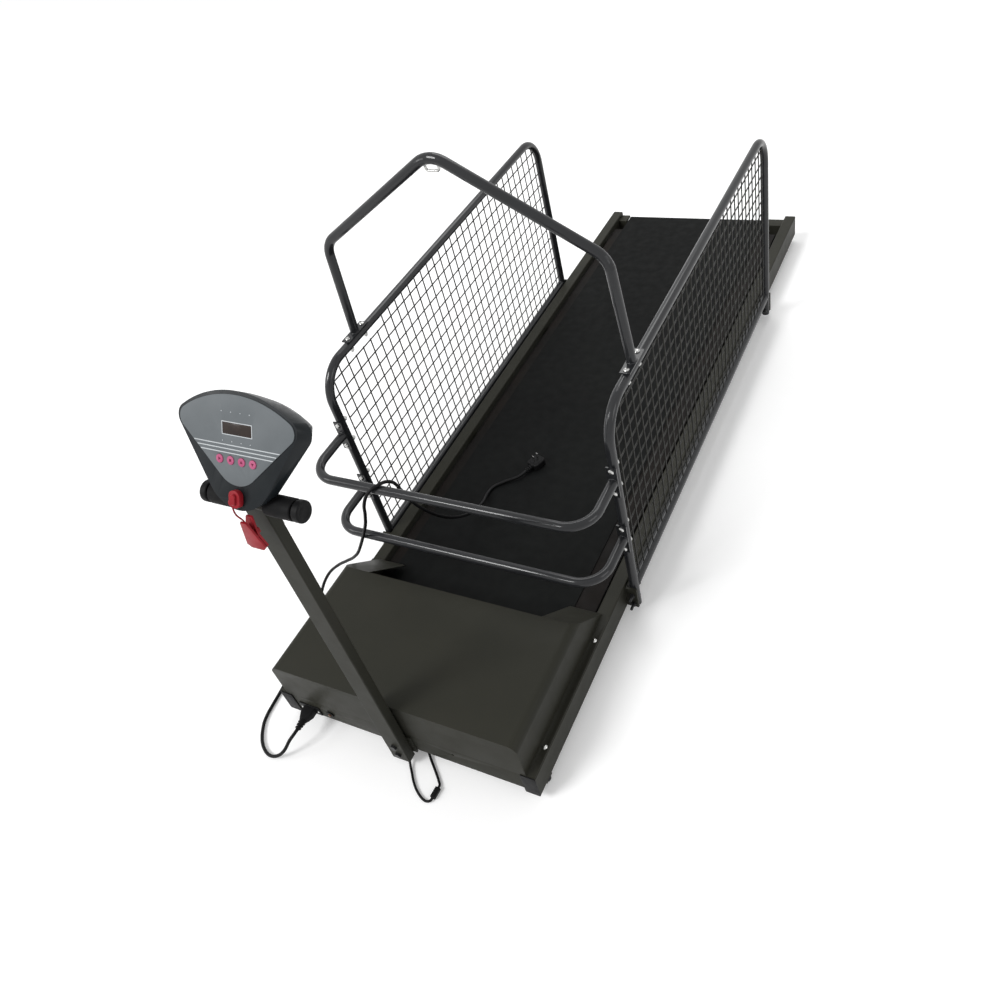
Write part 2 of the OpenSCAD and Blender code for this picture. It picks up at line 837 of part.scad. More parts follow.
module cross_members() {
    color(frame_grey) in_rails() for (i = [0:member_n - 1]) {
        y = deck_y0 + member_inset + i * member_step;
        difference() {
            block(-x_in, x_in, y - member_w / 2, y + member_w / 2, member_top - member_h, member_top);
            block(-x_in - cut, x_in + cut, y - member_w / 2 + member_wall, y + member_w / 2 - member_wall,
                member_top - member_h + member_wall, member_top - member_wall);
        }
    }
}

module one_wheel() {
    color(black) in_rails() translate([x_rail, wheel_y, wheel_d / 2]) rotate([0, 90, 0])
        difference() {
            cylinder(h = wheel_w, d = wheel_d, center = true);
            cylinder(h = wheel_w + 2 * cut, d = wheel_bolt_d + 2 * running_fit, center = true);
        }
}

module right_wheel() {
    one_wheel();
}

module left_wheel() {
    mirror([1, 0, 0]) one_wheel();
}

module rear_feet() {
    color(black) in_rails() both_sides() translate([foot_x, foot_y, 0])
        cylinder(h = ground_gap, d1 = foot_tip_d, d2 = foot_d);
}

// Running surface

module running_deck() {
    color(deck_brown) in_rails()
        block(-deck_w / 2, deck_w / 2, deck_y0, deck_y1, deck_top - deck_t, deck_top);
}

module deck_cushions() {
    color(black) in_rails() for (i = [0:member_n - 1], s = [-1, 1])
        translate([s * cushion_x, deck_y0 + member_inset + i * member_step, member_top])
            cylinder(h = cushion_h, d = cushion_d);
}

module running_belt() {
    r = roller_d / 2 + fit;
    color(black) in_rails() translate([belt_shift - belt_w / 2, 0, 0]) rotate([90, 0, 90])
        band([front_roller_y, roller_z], r, [rear_roller_y, roller_z], r, belt_t - fit, belt_w);
}

// Rollers turn on bearings on fixed axles

// Groove for the drive belt, round the X axis
module belt_groove(d) {
    translate([pulley_x + pulley_edge, 0, 0]) rotate([0, 90, 0]) difference() {
        cylinder(h = drive_belt_w, d = d + 2 * pulley_rim + cut);
        translate([0, 0, -cut]) cylinder(h = drive_belt_w + 2 * cut, d = d);
    }
}

module roller_bore(x0, x1) {
    rod_x(x0 - cut, x1 + cut, 0, 0, bearing_d + 2 * seat_fit);
}

module front_roller() {
    x1 = pulley_x + pulley_w;
    color(bright) in_rails() translate([0, front_roller_y, roller_z]) difference() {
        union() {
            rod_x(drum_x0, drum_x1, 0, 0, roller_d);
            rod_x(drum_x1, pulley_x, 0, 0, hub_d);
            rod_x(pulley_x, x1, 0, 0, roller_pulley_d + 2 * pulley_rim);
        }
        roller_bore(drum_x0, x1);
        belt_groove(roller_pulley_d);
    }
}

module rear_roller() {
    color(bright) in_rails() translate([0, rear_roller_y, roller_z]) difference() {
        rod_x(drum_x0, drum_x1, 0, 0, roller_d);
        roller_bore(drum_x0, drum_x1);
    }
}

module bearing_pair(x0, x1, y) {
    for (x = [x0, x1 - bearing_l]) translate([x, y, roller_z]) rotate([0, 90, 0]) difference() {
        cylinder(h = bearing_l, d = bearing_d);
        translate([0, 0, -cut]) cylinder(h = bearing_l + 2 * cut, d = axle_d + 2 * running_fit);
    }
}

module front_bearings() {
    color(bright) in_rails()
        bearing_pair(drum_x0 + bearing_set, pulley_x + pulley_w - bearing_set, front_roller_y);
}

module rear_bearings() {
    color(bright) in_rails() bearing_pair(drum_x0 + bearing_set, drum_x1 - bearing_set, rear_roller_y);
}

module roller_axles() {
    color(zinc) in_rails() {
        rod_x(-x_in, x_in, front_roller_y, roller_z, axle_d);
        rod_x(-x_in, x_in, rear_roller_y, roller_z, axle_d);
    }
}

module front_bracket() {
    difference() {
        block(x_in - front_bracket_t, x_in,
            front_roller_y - front_bracket_w / 2, front_roller_y + front_bracket_w / 2,
            roller_z - front_bracket_h / 2, roller_z + front_bracket_h / 2);
        rod_x(x_in - front_bracket_t - cut, x_in + cut, front_roller_y, roller_z, axle_d + 2 * seat_fit);
    }
}

// Open-bottomed box at the tail that holds the axle end and the tracking bolt
module rear_bracket(w) {
    x0 = x_in - w;
    y1 = rear_bracket_y1;
    y0 = y1 - rear_bracket_l;
    z0 = rear_bracket_top - rear_bracket_h;
    t = rear_bracket_t;
    difference() {
        block(x0, x_in, y0, y1, z0, rear_bracket_top);
        block(x0 + t, x_in - t, y0 + t, y1 - t, z0 - cut, rear_bracket_top - t);
        rod_x(x0 - cut, x_in + cut, rear_roller_y, roller_z, axle_d + 2 * seat_fit);
        rod_y(x_in - w / 2, y1 - t - cut, y1 + cut, roller_z, m8 + 2 * seat_fit);
    }
}

// The drum is off centre, so the right-hand rear bracket is the wider one
module roller_brackets() {
    color(frame_grey) in_rails() {
        both_sides() front_bracket();
        rear_bracket(right_bracket_w);
        mirror([1, 0, 0]) rear_bracket(left_bracket_w);
    }
}

module adjuster_bolt(w) {
    l = rear_bracket_y1 - rear_roller_y - axle_d / 2 - fit;
    translate([x_in - w / 2, rear_bracket_y1, roller_z]) rotate([90, 0, 0])
        hex_bolt(m8, m8_head_d, cap_t, l);
}

module adjuster_bolts() {
    color(zinc) in_rails() {
        adjuster_bolt(right_bracket_w);
        mirror([1, 0, 0]) adjuster_bolt(left_bracket_w);
    }
}

// Drive

module motor_body() {
    color(motor_black) in_rails() translate([0, motor_y, motor_z]) difference() {
        union() {
            rod_x(motor_x0 + motor_bell_l, motor_x1 - motor_bell_l, 0, 0, motor_d);
            rod_x(motor_x0, motor_x0 + motor_bell_l, 0, 0, motor_bell_d);
            rod_x(motor_x1 - motor_bell_l, motor_x1, 0, 0, motor_bell_d);
        }
        rod_x(motor_x1 - shaft_bore_l, motor_x1 + cut, 0, 0, shaft_d + 2 * running_fit);
    }
}

module motor_shaft() {
    x1 = pulley_x + pulley_w;
    color(bright) in_rails() translate([0, motor_y, motor_z]) difference() {
        union() {
            rod_x(motor_x1 - shaft_bore_l + shaft_gap, x1, 0, 0, shaft_d);
            rod_x(flywheel_x, flywheel_x + flywheel_w, 0, 0, flywheel_d);
            rod_x(pulley_x, x1, 0, 0, motor_pulley_d + 2 * pulley_rim);
        }
        belt_groove(motor_pulley_d);
    }
}

module motor_tray() {
    color(frame_grey) in_rails() difference() {
        union() {
            block(-x_in, x_in, tray_y0, tray_y1, tray_z, tray_z + tray_t);
            for (x = [motor_x0 + saddle_in, motor_x1 - saddle_in - saddle_t])
                block(x, x + saddle_t, motor_y - saddle_w / 2, motor_y + saddle_w / 2, tray_z, saddle_top);
        }
        rod_x(motor_x0, motor_x1, motor_y, motor_z, motor_d + 2 * seat_fit);
        block(pulley_x - tray_slot, pulley_x + pulley_w + tray_slot, motor_y, tray_y1 + cut,
            tray_z - cut, tray_z + tray_t + cut);
    }
}

module drive_belt() {
    x0 = pulley_x + pulley_edge + fit;
    color(black) in_rails() translate([x0, 0, 0]) rotate([90, 0, 90])
        band([motor_y, motor_z], motor_pulley_d / 2 + fit, [front_roller_y, roller_z],
            roller_pulley_d / 2 + fit, drive_belt_t, drive_belt_w - 2 * fit);
}

module controller_board() {
    z0 = tray_z + tray_t;
    z1 = z0 + board_stand + board_t;
    y0 = board_y - sink_half;
    y1 = board_y + sink_half;
    color(board_green) in_rails() {
        block(board_x - board_l / 2, board_x + board_l / 2, board_y - board_w / 2, board_y + board_w / 2,
            z0 + board_stand, z1);
        for (sx = [-1, 1], sy = [-1, 1])
            translate([board_x + sx * (board_l / 2 - stand_in), board_y + sy * (board_w / 2 - stand_in), z0])
                cylinder(h = board_stand, d = stand_d);
        for (i = [0:fin_n - 1]) translate([i * fin_pitch, 0, 0])
            block(fin_x0, fin_x0 + fin_t, y0, y1, z1 + sink_base, z1 + sink_h);
        block(fin_x0, fin_x0 + (fin_n - 1) * fin_pitch + fin_t, y0, y1, z1, z1 + sink_base);
        for (s = [-1, 1]) translate([can_x, board_y + s * can_y, z1]) cylinder(h = can_h, d = can_d);
    }
}

// Hood

module hood_plan(inset) {
    h = hood_h - inset;
    half = hood_half - inset;
    r = hood_r - inset;
    translate([-half, 0]) square([2 * half, h - r]);
    translate([-half + r, 0]) square([2 * (half - r), h]);
    for (s = [-1, 1]) translate([s * (half - r), h - r]) circle(r);
}

// Everything above the sloped tail, moved in by the given depth
module above_tail(inset) {
    slope = atan2(hood_h, hood_tail);
    translate([0, hood_l, rail_top + hood_h]) rotate([-slope, 0, 0]) translate([-frame_w, 0, -inset])
        cube([2 * frame_w, 4 * hood_tail, 4 * hood_h]);
}

module hood_form(inset) {
    y0 = inset;
    y1 = hood_l + hood_tail - inset;
    difference() {
        translate([0, 0, rail_top]) along_y(y0, y1) hood_plan(inset);
        above_tail(inset);
    }
}

module hood_holes() {
    for (y = [hood_screw_y0, hood_screw_y1]) translate([hood_screw_x, y, rail_top - cut])
        cylinder(h = hood_t + 2 * cut, d = hood_screw_d + 2 * fit);
}

module motor_hood() {
    in_half = hood_half - hood_t;
    y1 = hood_l + hood_tail;
    color(frame_grey) in_rails() difference() {
        union() {
            difference() {
                hood_form(0);
                hood_form(hood_t);
                block(-in_half, in_half, hood_t, hood_l, rail_top - cut, rail_top + hood_t + cut);
                block(-hood_gap_half, hood_gap_half, hood_l, y1 + cut,
                    rail_top - cut, rail_top + hood_h + cut);
            }
            both_sides()
                block(in_half, x_out - hood_edge, hood_t, y1 - hood_lip_in, rail_top, rail_top + hood_t);
        }
        both_sides() hood_holes();
    }
}

module small_screws() {
    color(bright) in_rails() {
        both_sides() for (y = [hood_screw_y0, hood_screw_y1])
            translate([hood_screw_x, y, rail_top + hood_t]) mirror([0, 0, 1])
                dome_bolt(hood_screw_d, hood_screw_head_d, hood_screw_head_h, hood_t);
        for (s = [-1, 1])
            translate([inlet_x + s * inlet_screw_pitch / 2, -inlet_flange_t, inlet_z]) rotate([90, 0, 0])
                dome_head(inlet_screw_d, inlet_screw_h);
    }
}

// Mains inlet, breaker and lead

module mains_inlet() {
    half_h = inlet_h / 2;
    color(black) in_rails() difference() {
        union() {
            block(inlet_x - inlet_flange_w / 2, inlet_x + inlet_flange_w / 2, -inlet_flange_t, 0,
                inlet_z - half_h - inlet_lip, inlet_z + half_h + inlet_lip);
            block(inlet_x - inlet_w / 2, inlet_x + inlet_w / 2, 0, inlet_depth,
                inlet_z - half_h, inlet_z + half_h);
        }
        block(inlet_x - connector_w / 2 - fit, inlet_x + connector_w / 2 + fit,
            -inlet_flange_t - cut, inlet_depth - inlet_floor,
            inlet_z - connector_h / 2 - fit, inlet_z + connector_h / 2 + fit);
    }
}

module breaker_body() {
    color(black) in_rails() difference() {
        union() {
            rod_y(breaker_x, 0, crossbar_d + cut, breaker_z, breaker_d);
            rod_y(breaker_x, -breaker_nut_t, 0, breaker_z, breaker_nut_d);
        }
        rod_y(breaker_x, -breaker_nut_t - cut, breaker_bore, breaker_z, breaker_button_d + 2 * running_fit);
    }
}

module breaker_button() {
    color(amber) in_rails()
        rod_y(breaker_x, -breaker_nut_t - breaker_button_out, breaker_button_in, breaker_z, breaker_button_d);
}

module mains_connector() {
    y0 = inlet_depth - inlet_floor - fit;
    color(black) in_rails() {
        block(inlet_x - connector_w / 2, inlet_x + connector_w / 2, -connector_l, y0,
            inlet_z - connector_h / 2, inlet_z + connector_h / 2);
        translate([inlet_x, -connector_l, inlet_z]) rotate([90, 0, 0])
            cylinder(h = relief_l, d1 = relief_root_d, d2 = relief_tip_d);
    }
}

module mains_cord() {
    color(black) in_rails() swept_cord(doubled(mains_route), cord_d, 8, [1, 0, 0]);
}

module mains_plug() {
    y_body = plug_relief_l + plug_l / 2;
    color(black) in_rails() translate(plug_at) rotate([0, 0, plug_turn]) {
        rotate([-90, 0, 0]) cylinder(h = plug_relief_l, d1 = relief_tip_d, d2 = plug_relief_d);
        translate([0, y_body, -plug_h / 2]) linear_extrude(plug_h) round_rect(plug_w, plug_l, plug_r);
        for (s = [-1, 1])
            block(-blade_w / 2, blade_w / 2, y_body + s * blade_pitch / 2 - blade_t / 2,
                y_body + s * blade_pitch / 2 + blade_t / 2, plug_h / 2, plug_h / 2 + blade_l);
    }
}

// Guards

// Centre line of a guard tube, with x along the treadmill and y up
function guard_line() = [[guard_y, post_foot], [guard_y, guard_top], [guard_y + guard_l, guard_top],
    [guard_y + guard_l, post_foot]];

module guard_plane(x) {
    translate([x, 0, 0]) rotate([90, 0, 90]) children();
}

module guard_tubes(d, grow) {
    guard_plane(x_guard) bent_rod(lengthen(guard_line(), grow), guard_r, d);
    rod_y(x_guard, guard_y, guard_y + guard_l, guard_low, d);
}

module one_guard() {
    color(tube_grey) in_rails() difference() {
        guard_tubes(tube_d, 0);
        guard_tubes(tube_d - 2 * tube_wall, cut);
        for (y = [guard_y, guard_y + guard_l], z = lug_bolt_z)
            rod_y(x_guard, y - tube_d, y + tube_d, z, m6 + 2 * fit);
        for (h = [upper_bar_h, lower_bar_h], s = [-1, 1])
            rod_y(x_guard, guard_y - tube_d, guard_y + tube_d, rail_top + h + s * saddle_bolt, m6 + 2 * fit);
        for (s = [-1, 1]) translate([x_guard, hoop_y + s * saddle_bolt, guard_top - tube_d])
            cylinder(h = 2 * tube_d, d = m6 + 2 * fit);
    }
}

module right_guard_frame() {
    one_guard();
}

module left_guard_frame() {
    mirror([1, 0, 0]) one_guard();
}

// The space inside a guard's tubes, with x along the treadmill and y up
module guard_window() {
    y0 = guard_y + tube_r + fit;
    y1 = guard_y + guard_l - tube_r - fit;
    z0 = guard_low + tube_r + fit;
    z1 = guard_top - tube_r - fit;
    r = guard_r - tube_r - fit;
    translate([y0, z0]) square([y1 - y0, z1 - r - z0]);
    translate([y0 + r, z0]) square([y1 - y0 - 2 * r, z1 - z0]);
    for (y = [y0 + r, y1 - r]) translate([y, z1 - r]) circle(r);
}

// Room for the nuts and bolt tails that stand into the net's window
module nut_rooms() {
    reach = m6_nut_h + m6_tail + tube_r + 2 * fit;
    room = m6_nut_d + 2 * fit;
    for (h = [upper_bar_h, lower_bar_h], s = [-1, 1])
        translate([guard_y, rail_top + h + s * saddle_bolt - room / 2]) square([reach + fit, room]);
    for (s = [-1, 1])
        translate([hoop_y + s * saddle_bolt - room / 2, guard_top - reach - fit]) square([room, reach]);
}

module one_mesh() {
    step_y = guard_l / mesh_n_y;
    step_z = (guard_top - guard_low) / mesh_n_z;
    color(mesh_brown) in_rails() guard_plane(x_guard - wire_d / 2) linear_extrude(wire_d)
        intersection() {
            difference() {
                guard_window();
                nut_rooms();
            }
            union() {
                for (i = [1:mesh_n_y - 1]) translate([guard_y + i * step_y - wire_d / 2, guard_low])
                    square([wire_d, guard_top - guard_low]);
                for (k = [1:mesh_n_z - 1]) translate([guard_y, guard_low + k * step_z - wire_d / 2])
                    square([guard_l, wire_d]);
            }
        }
}

module right_guard_mesh() {
    one_mesh();
}

module left_guard_mesh() {
    mirror([1, 0, 0]) one_mesh();
}

module frame_bolts() {
    lug_stack = lug_t + 2 * fit + tube_d;
    post_stack = post_d + post_gap + crossbar_d;
    wheel_stack = wheel_w + 2 * fit + 2 * wheel_cheek_t;
    color(black) in_rails() {
        both_sides() for (z = lug_bolt_z) {
            translate([x_guard, guard_y + tube_r + fit, z]) rotate([90, 0, 0])
                through_bolt(lug_stack, lug_tail);
            translate([x_guard, guard_y + guard_l - tube_r - fit, z]) rotate([-90, 0, 0])
                through_bolt(lug_stack, lug_tail);
        }
        for (z = post_bolt_z) translate([0, post_y0, z]) rotate([-90, 0, 0]) {
            hex_bolt(m8, m8_head_d, m8_head_h, post_stack + m8_head_h + m8_tail);
            translate([0, 0, post_stack]) hex_nut(m8, m8_head_d, m8_head_h);
        }
        both_sides() translate([x_rail + wheel_w / 2 + fit + wheel_cheek_t, wheel_y, wheel_d / 2])
            rotate([0, -90, 0])
                dome_bolt(wheel_bolt_d, wheel_head_d, wheel_head_h, wheel_stack + wheel_bolt_tail);
    }
}

// Front bars: the tube ends are welded to flat plates that bolt to the posts

module bar_plate(z) {
    y0 = guard_y - tube_r - fit - saddle_plate_t;
    difference() {
        block(x_guard - saddle_plate_w / 2, x_guard + saddle_plate_w / 2, y0, y0 + saddle_plate_t,
            z - saddle_plate_h / 2, z + saddle_plate_h / 2);
        for (s = [-1, 1])
            rod_y(x_guard, y0 - cut, y0 + saddle_plate_t + cut, z + s * saddle_bolt, m6 + 2 * fit);
        rod_y(x_guard, y0 - cut, y0 + saddle_plate_t + cut, z, vent_d);
    }
}

module front_bar(h) {
    y_end = guard_y - tube_r - fit - saddle_plate_t;
    y_bar = guard_y - bar_reach;
    line = [[-x_guard, y_end], [-x_guard, y_bar], [x_guard, y_bar], [x_guard, y_end]];
    color(tube_grey) in_rails() {
        translate([0, 0, rail_top + h]) bent_tube(line, bar_r, tube_d, tube_wall);
        both_sides() bar_plate(rail_top + h);
    }
}

module upper_front_bar() {
    front_bar(upper_bar_h);
}

module lower_front_bar() {
    front_bar(lower_bar_h);
}

// Overhead hoop, in the XZ plane

module hoop_plate() {
    z0 = guard_top + tube_r + fit;
    difference() {
        block(x_guard - saddle_plate_w / 2, x_guard + saddle_plate_w / 2, hoop_y - saddle_plate_h / 2,
            hoop_y + saddle_plate_h / 2, z0, z0 + saddle_plate_t);
        for (s = [-1, 1]) translate([x_guard, hoop_y + s * saddle_bolt, z0 - cut])
            cylinder(h = saddle_plate_t + 2 * cut, d = m6 + 2 * fit);
        translate([x_guard, hoop_y, z0 - cut]) cylinder(h = saddle_plate_t + 2 * cut, d = vent_d);
    }
}

module overhead_hoop() {
    color(tube_grey) in_rails() {
        translate([0, hoop_y, 0]) rotate([90, 0, 0])
            swept_tube(rounded_line(hoop_line, hoop_r, hoop_steps), tube_d, tube_wall, hoop_sides);
        both_sides() hoop_plate();
    }
}

module tube_bolts() {
    stack = saddle_plate_t + 2 * fit + tube_d;
    color(bright) in_rails() both_sides() {
        for (h = [upper_bar_h, lower_bar_h], s = [-1, 1])
            translate([x_guard, guard_y - tube_r - fit - saddle_plate_t, rail_top + h + s * saddle_bolt])
                rotate([-90, 0, 0]) through_bolt(stack, m6_tail);
        for (s = [-1, 1]) translate([x_guard, hoop_y + s * saddle_bolt, hoop_z0])
            rotate([180, 0, 0]) through_bolt(stack, m6_tail);
    }
}

// Staple welded under the peak
module leash_eye() {
    line = [[-eye_half, eye_top], [-eye_half, eye_bar_z], [eye_half, eye_bar_z], [eye_half, eye_top]];
    color(bright) in_rails() translate([0, hoop_y, 0]) rotate([90, 0, 0]) bent_rod(line, eye_r, eye_wire);
}

// Console post with its handle tube and tab

module console_post() {
    x0 = handle_x - handle_l / 2 + grip_cap_l;
    x1 = handle_x + handle_l / 2 - grip_cap_l;
    color(frame_grey) in_rails() difference() {
        union() {
            difference() {
                translate([0, (post_y0 + post_y1) / 2, post_foot_z]) linear_extrude(handle_z - post_foot_z)
                    difference() {
                        round_rect(post_w, post_d, post_r);
                        square([post_w - 2 * post_wall, post_d - 2 * post_wall], center = true);
                    }
                rod_x(-post_w, post_w, handle_y, handle_z, handle_tube_d);
            }
            difference() {
                rod_x(x0, x1, handle_y, handle_z, handle_tube_d);
                rod_x(x0 - cut, x1 + cut, handle_y, handle_z, handle_tube_d - 2 * handle_wall);
            }
            block(-tab_w / 2, tab_w / 2, post_y1, post_y1 + tab_t, handle_z - tab_drop, tab_top);
        }
        for (z = post_bolt_z) rod_y(0, post_y0 - cut, post_y1 + cut, z, m8 + 2 * fit);
    }
}

module handle_grips() {
    x_cap = handle_l / 2 - grip_cap_l;
    color(black) in_rails() translate([handle_x, 0, 0]) both_sides() {
        difference() {
            rod_x(grip_gap_half, x_cap - grip_cap_gap, handle_y, handle_z, grip_d);
            rod_x(0, handle_l, handle_y, handle_z, handle_tube_d + 2 * seat_fit);
        }
        rod_x(x_cap, x_cap + grip_cap_l, handle_y, handle_z, grip_d);
        rod_x(x_cap - grip_plug_l, x_cap, handle_y, handle_z, handle_tube_d - 2 * handle_wall - 2 * seat_fit);
    }
}

// Console

module film_at(z) {
    translate([0, 0, z]) linear_extrude(film) children();
}

module front_form(inset) {
    hull() {
        film_at(-inset - film) face_plan(-inset);
        film_at(-shell_mid) mid_plan(-inset);
    }
}

module back_form(inset) {
    hull() {
        film_at(-shell_mid - film) mid_plan(-inset);
        film_at(-console_depth + inset) face_plan(-shell_back_in - inset);
    }
}

// Room for the handle, the post and its tab
module handle_room() {
    r = grip_d / 2 + fit;
    x1 = handle_x + handle_l;
    rod_x(-x1, x1, handle_y, handle_z, 2 * r);
    block(-x1, x1, handle_y - r, handle_y + r, handle_z - console_depth, handle_z);
    block(-tab_w / 2 - fit, tab_w / 2 + fit, post_y1 - fit, post_y1 + tab_t + fit,
        handle_z - console_depth, tab_top + fit);
}

module button_places() {
    for (i = [0:3]) translate([(i - 1.5) * button_pitch, button_y, 0]) children();
}

module console_front() {
    color(charcoal) in_rails() difference() {
        on_face() difference() {
            front_form(0);
            front_form(shell_t);
            translate([window_x, window_y, -shell_t - cut]) linear_extrude(shell_t + 2 * cut)
                square([window_w + 2 * fit, window_h + 2 * fit], center = true);
            button_places() translate([0, 0, -shell_t - cut])
                cylinder(h = shell_t + 2 * cut, d = button_d + 2 * button_gap);
            translate([0, key_y, -shell_t - cut]) cylinder(h = shell_t + 2 * cut, d = key_stem_d + 2 * fit);
        }
        handle_room();
    }
}

module console_back() {
    color(charcoal) in_rails() difference() {
        on_face() difference() {
            back_form(0);
            back_form(shell_t);
        }
        handle_room();
    }
}

module console_overlay() {
    color(film_grey) in_rails() on_face() difference() {
        linear_extrude(overlay_t) overlay_plan();
        translate([window_x, window_y, -cut]) linear_extrude(overlay_t + 2 * cut)
            square([window_w + 2 * fit, window_h + 2 * fit], center = true);
        button_places() translate([0, 0, -cut])
            cylinder(h = overlay_t + 2 * cut, d = button_d + 2 * button_gap);
    }
}

module display_window() {
    color(window_brown) in_rails() on_face() translate([window_x, window_y, overlay_t - window_t])
        linear_extrude(window_t) square([window_w, window_h], center = true);
}

module console_board() {
    color(board_green) in_rails() on_face() {
        translate([0, panel_y, panel_z - panel_t / 2]) cube([panel_w, panel_h, panel_t], center = true);
        translate([window_x, window_y, panel_z]) linear_extrude(overlay_t - window_t - panel_z - fit)
            square([window_w - 2 * screen_in, window_h - screen_in], center = true);
        button_places() translate([0, 0, panel_z]) cylinder(h = switch_h, d = switch_d);
        for (sx = [-1, 1], y = panel_post_y) translate([sx * panel_post_x, y, panel_z])
            cylinder(h = -panel_z - shell_t, d = panel_post_d);
    }
}

module one_button(i) {
    z0 = -shell_t - button_gap;
    color(pink) in_rails() on_face() translate([(i - 1.5) * button_pitch, button_y, 0]) {
        translate([0, 0, z0 - button_flange]) cylinder(h = button_flange, d = button_d + 2 * button_rim);
        translate([0, 0, z0]) cylinder(h = overlay_t + button_rise - z0, d = button_d);
        translate([0, 0, -button_depth]) cylinder(h = button_depth - shell_t, d = button_d - 2 * button_rim);
    }
}

module button_start() {
    one_button(0);
}

module button_stop() {
    one_button(1);
}

module button_slower() {
    one_button(3);
}

module button_faster() {
    one_button(2);
}

module safety_key() {
    color(red) in_rails() on_face() translate([0, key_y, 0]) {
        translate([0, 0, key_lift]) linear_extrude(key_t) round_rect(key_w, key_h, key_r);
        translate([-key_w / 2, (key_ear_d - key_h) / 2, key_lift]) cylinder(h = key_ear_t, d = key_ear_d);
        translate([0, 0, -key_stem_l]) cylinder(h = key_stem_l + key_lift, d = key_stem_d);
    }
}

module key_cord() {
    color(red) in_rails() swept_cord(doubled(key_cord_route), key_cord_d, 8, [1, 0, 0]);
}

// Fan outline of the clip's jaws, with x across and y up
module jaw_plan() {
    w = clip_wide / 2;
    polygon([[-clip_w / 2, 0], [clip_w / 2, 0], [w, clip_tip - clip_l], [w - clip_tip, -clip_l],
        [clip_tip - w, -clip_l], [-w, clip_tip - clip_l]]);
}

module in_clip() {
    color(red) in_rails() translate(clip_at) children();
}

module clip_ear(s, t, h) {
    y0 = -clip_gap / 2 - film;
    block(s * clip_ear_x - t / 2, s * clip_ear_x + t / 2, y0, clip_pin_y + clip_pin_d, -clip_pin_drop - h / 2,
        -clip_pin_drop + h / 2);
}

module key_clip() {
    in_clip() {
        along_y(-clip_gap / 2 - clip_t, -clip_gap / 2) jaw_plan();
        for (s = [-1, 1]) clip_ear(s, clip_ear_t, clip_ear_h);
        rod_x(-clip_pin_half, clip_pin_half, clip_pin_y, -clip_pin_drop, clip_pin_d);
    }
}

module clip_jaw() {
    y0 = clip_gap / 2;
    y1 = y0 + clip_t;
    in_clip() difference() {
        union() {
            difference() {
                intersection() {
                    along_y(y0, y1 + clip_lever) jaw_plan();
                    along_x(-clip_wide, clip_wide)
                        polygon([[y0, -clip_l], [y1, -clip_l], [y1, -clip_pin_drop],
                            [y1 + clip_lever, 0], [y0 + clip_lever, 0], [y0, -clip_pin_drop]]);
                }
                for (s = [-1, 1]) clip_ear(s, clip_slot_t, clip_slot_h);
            }
            block(-clip_hub_half, clip_hub_half, y1 - film, clip_pin_y + clip_hub_d / 2,
                -clip_pin_drop - clip_hub_d / 2, -clip_pin_drop + clip_hub_d / 2);
        }
        rod_x(-clip_wide, clip_wide, clip_pin_y, -clip_pin_drop, clip_pin_d + 2 * running_fit);
    }
}

module console_cable() {
    color(black) in_rails() {
        swept_cord(doubled(cable_route_1), cable_d, 8, [1, 0, 0]);
        swept_cord(doubled(cable_route_2), cable_d, 8, [1, 0, 0]);
    }
}

module cable_connector() {
    run = cable_plug_b - cable_plug_a;
    color(charcoal) in_rails() translate(cable_plug_a) rotate([0, 0, heading(run)])
        translate([0, -cable_plug_w / 2, -cable_plug_h / 2]) cube([norm(run), cable_plug_w, cable_plug_h]);
}

left_rail();
right_rail();
rail_end_caps();
front_crossbar();
cross_members();
left_wheel();
right_wheel();
rear_feet();
running_deck();
deck_cushions();
running_belt();
front_roller();
front_bearings();
rear_roller();
rear_bearings();
roller_axles();
roller_brackets();
adjuster_bolts();
motor_body();
motor_shaft();
motor_tray();
drive_belt();
controller_board();
motor_hood();
small_screws();
mains_inlet();
breaker_body();
breaker_button();
mains_connector();
mains_cord();
mains_plug();
left_guard_frame();
right_guard_frame();
left_guard_mesh();
right_guard_mesh();
frame_bolts();
upper_front_bar();
lower_front_bar();
overhead_hoop();
tube_bolts();
leash_eye();
console_post();
handle_grips();
console_front();
console_back();
console_overlay();
display_window();
console_board();
button_start();
button_stop();
button_slower();
button_faster();
safety_key();
key_cord();
key_clip();
clip_jaw();
console_cable();
cable_connector();
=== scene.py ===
"""Looks of a dog treadmill: finishes, wire nets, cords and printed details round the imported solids."""

import json
import logging
import math
from collections.abc import Iterable, Mapping, Sequence
from dataclasses import dataclass, field
from enum import Enum

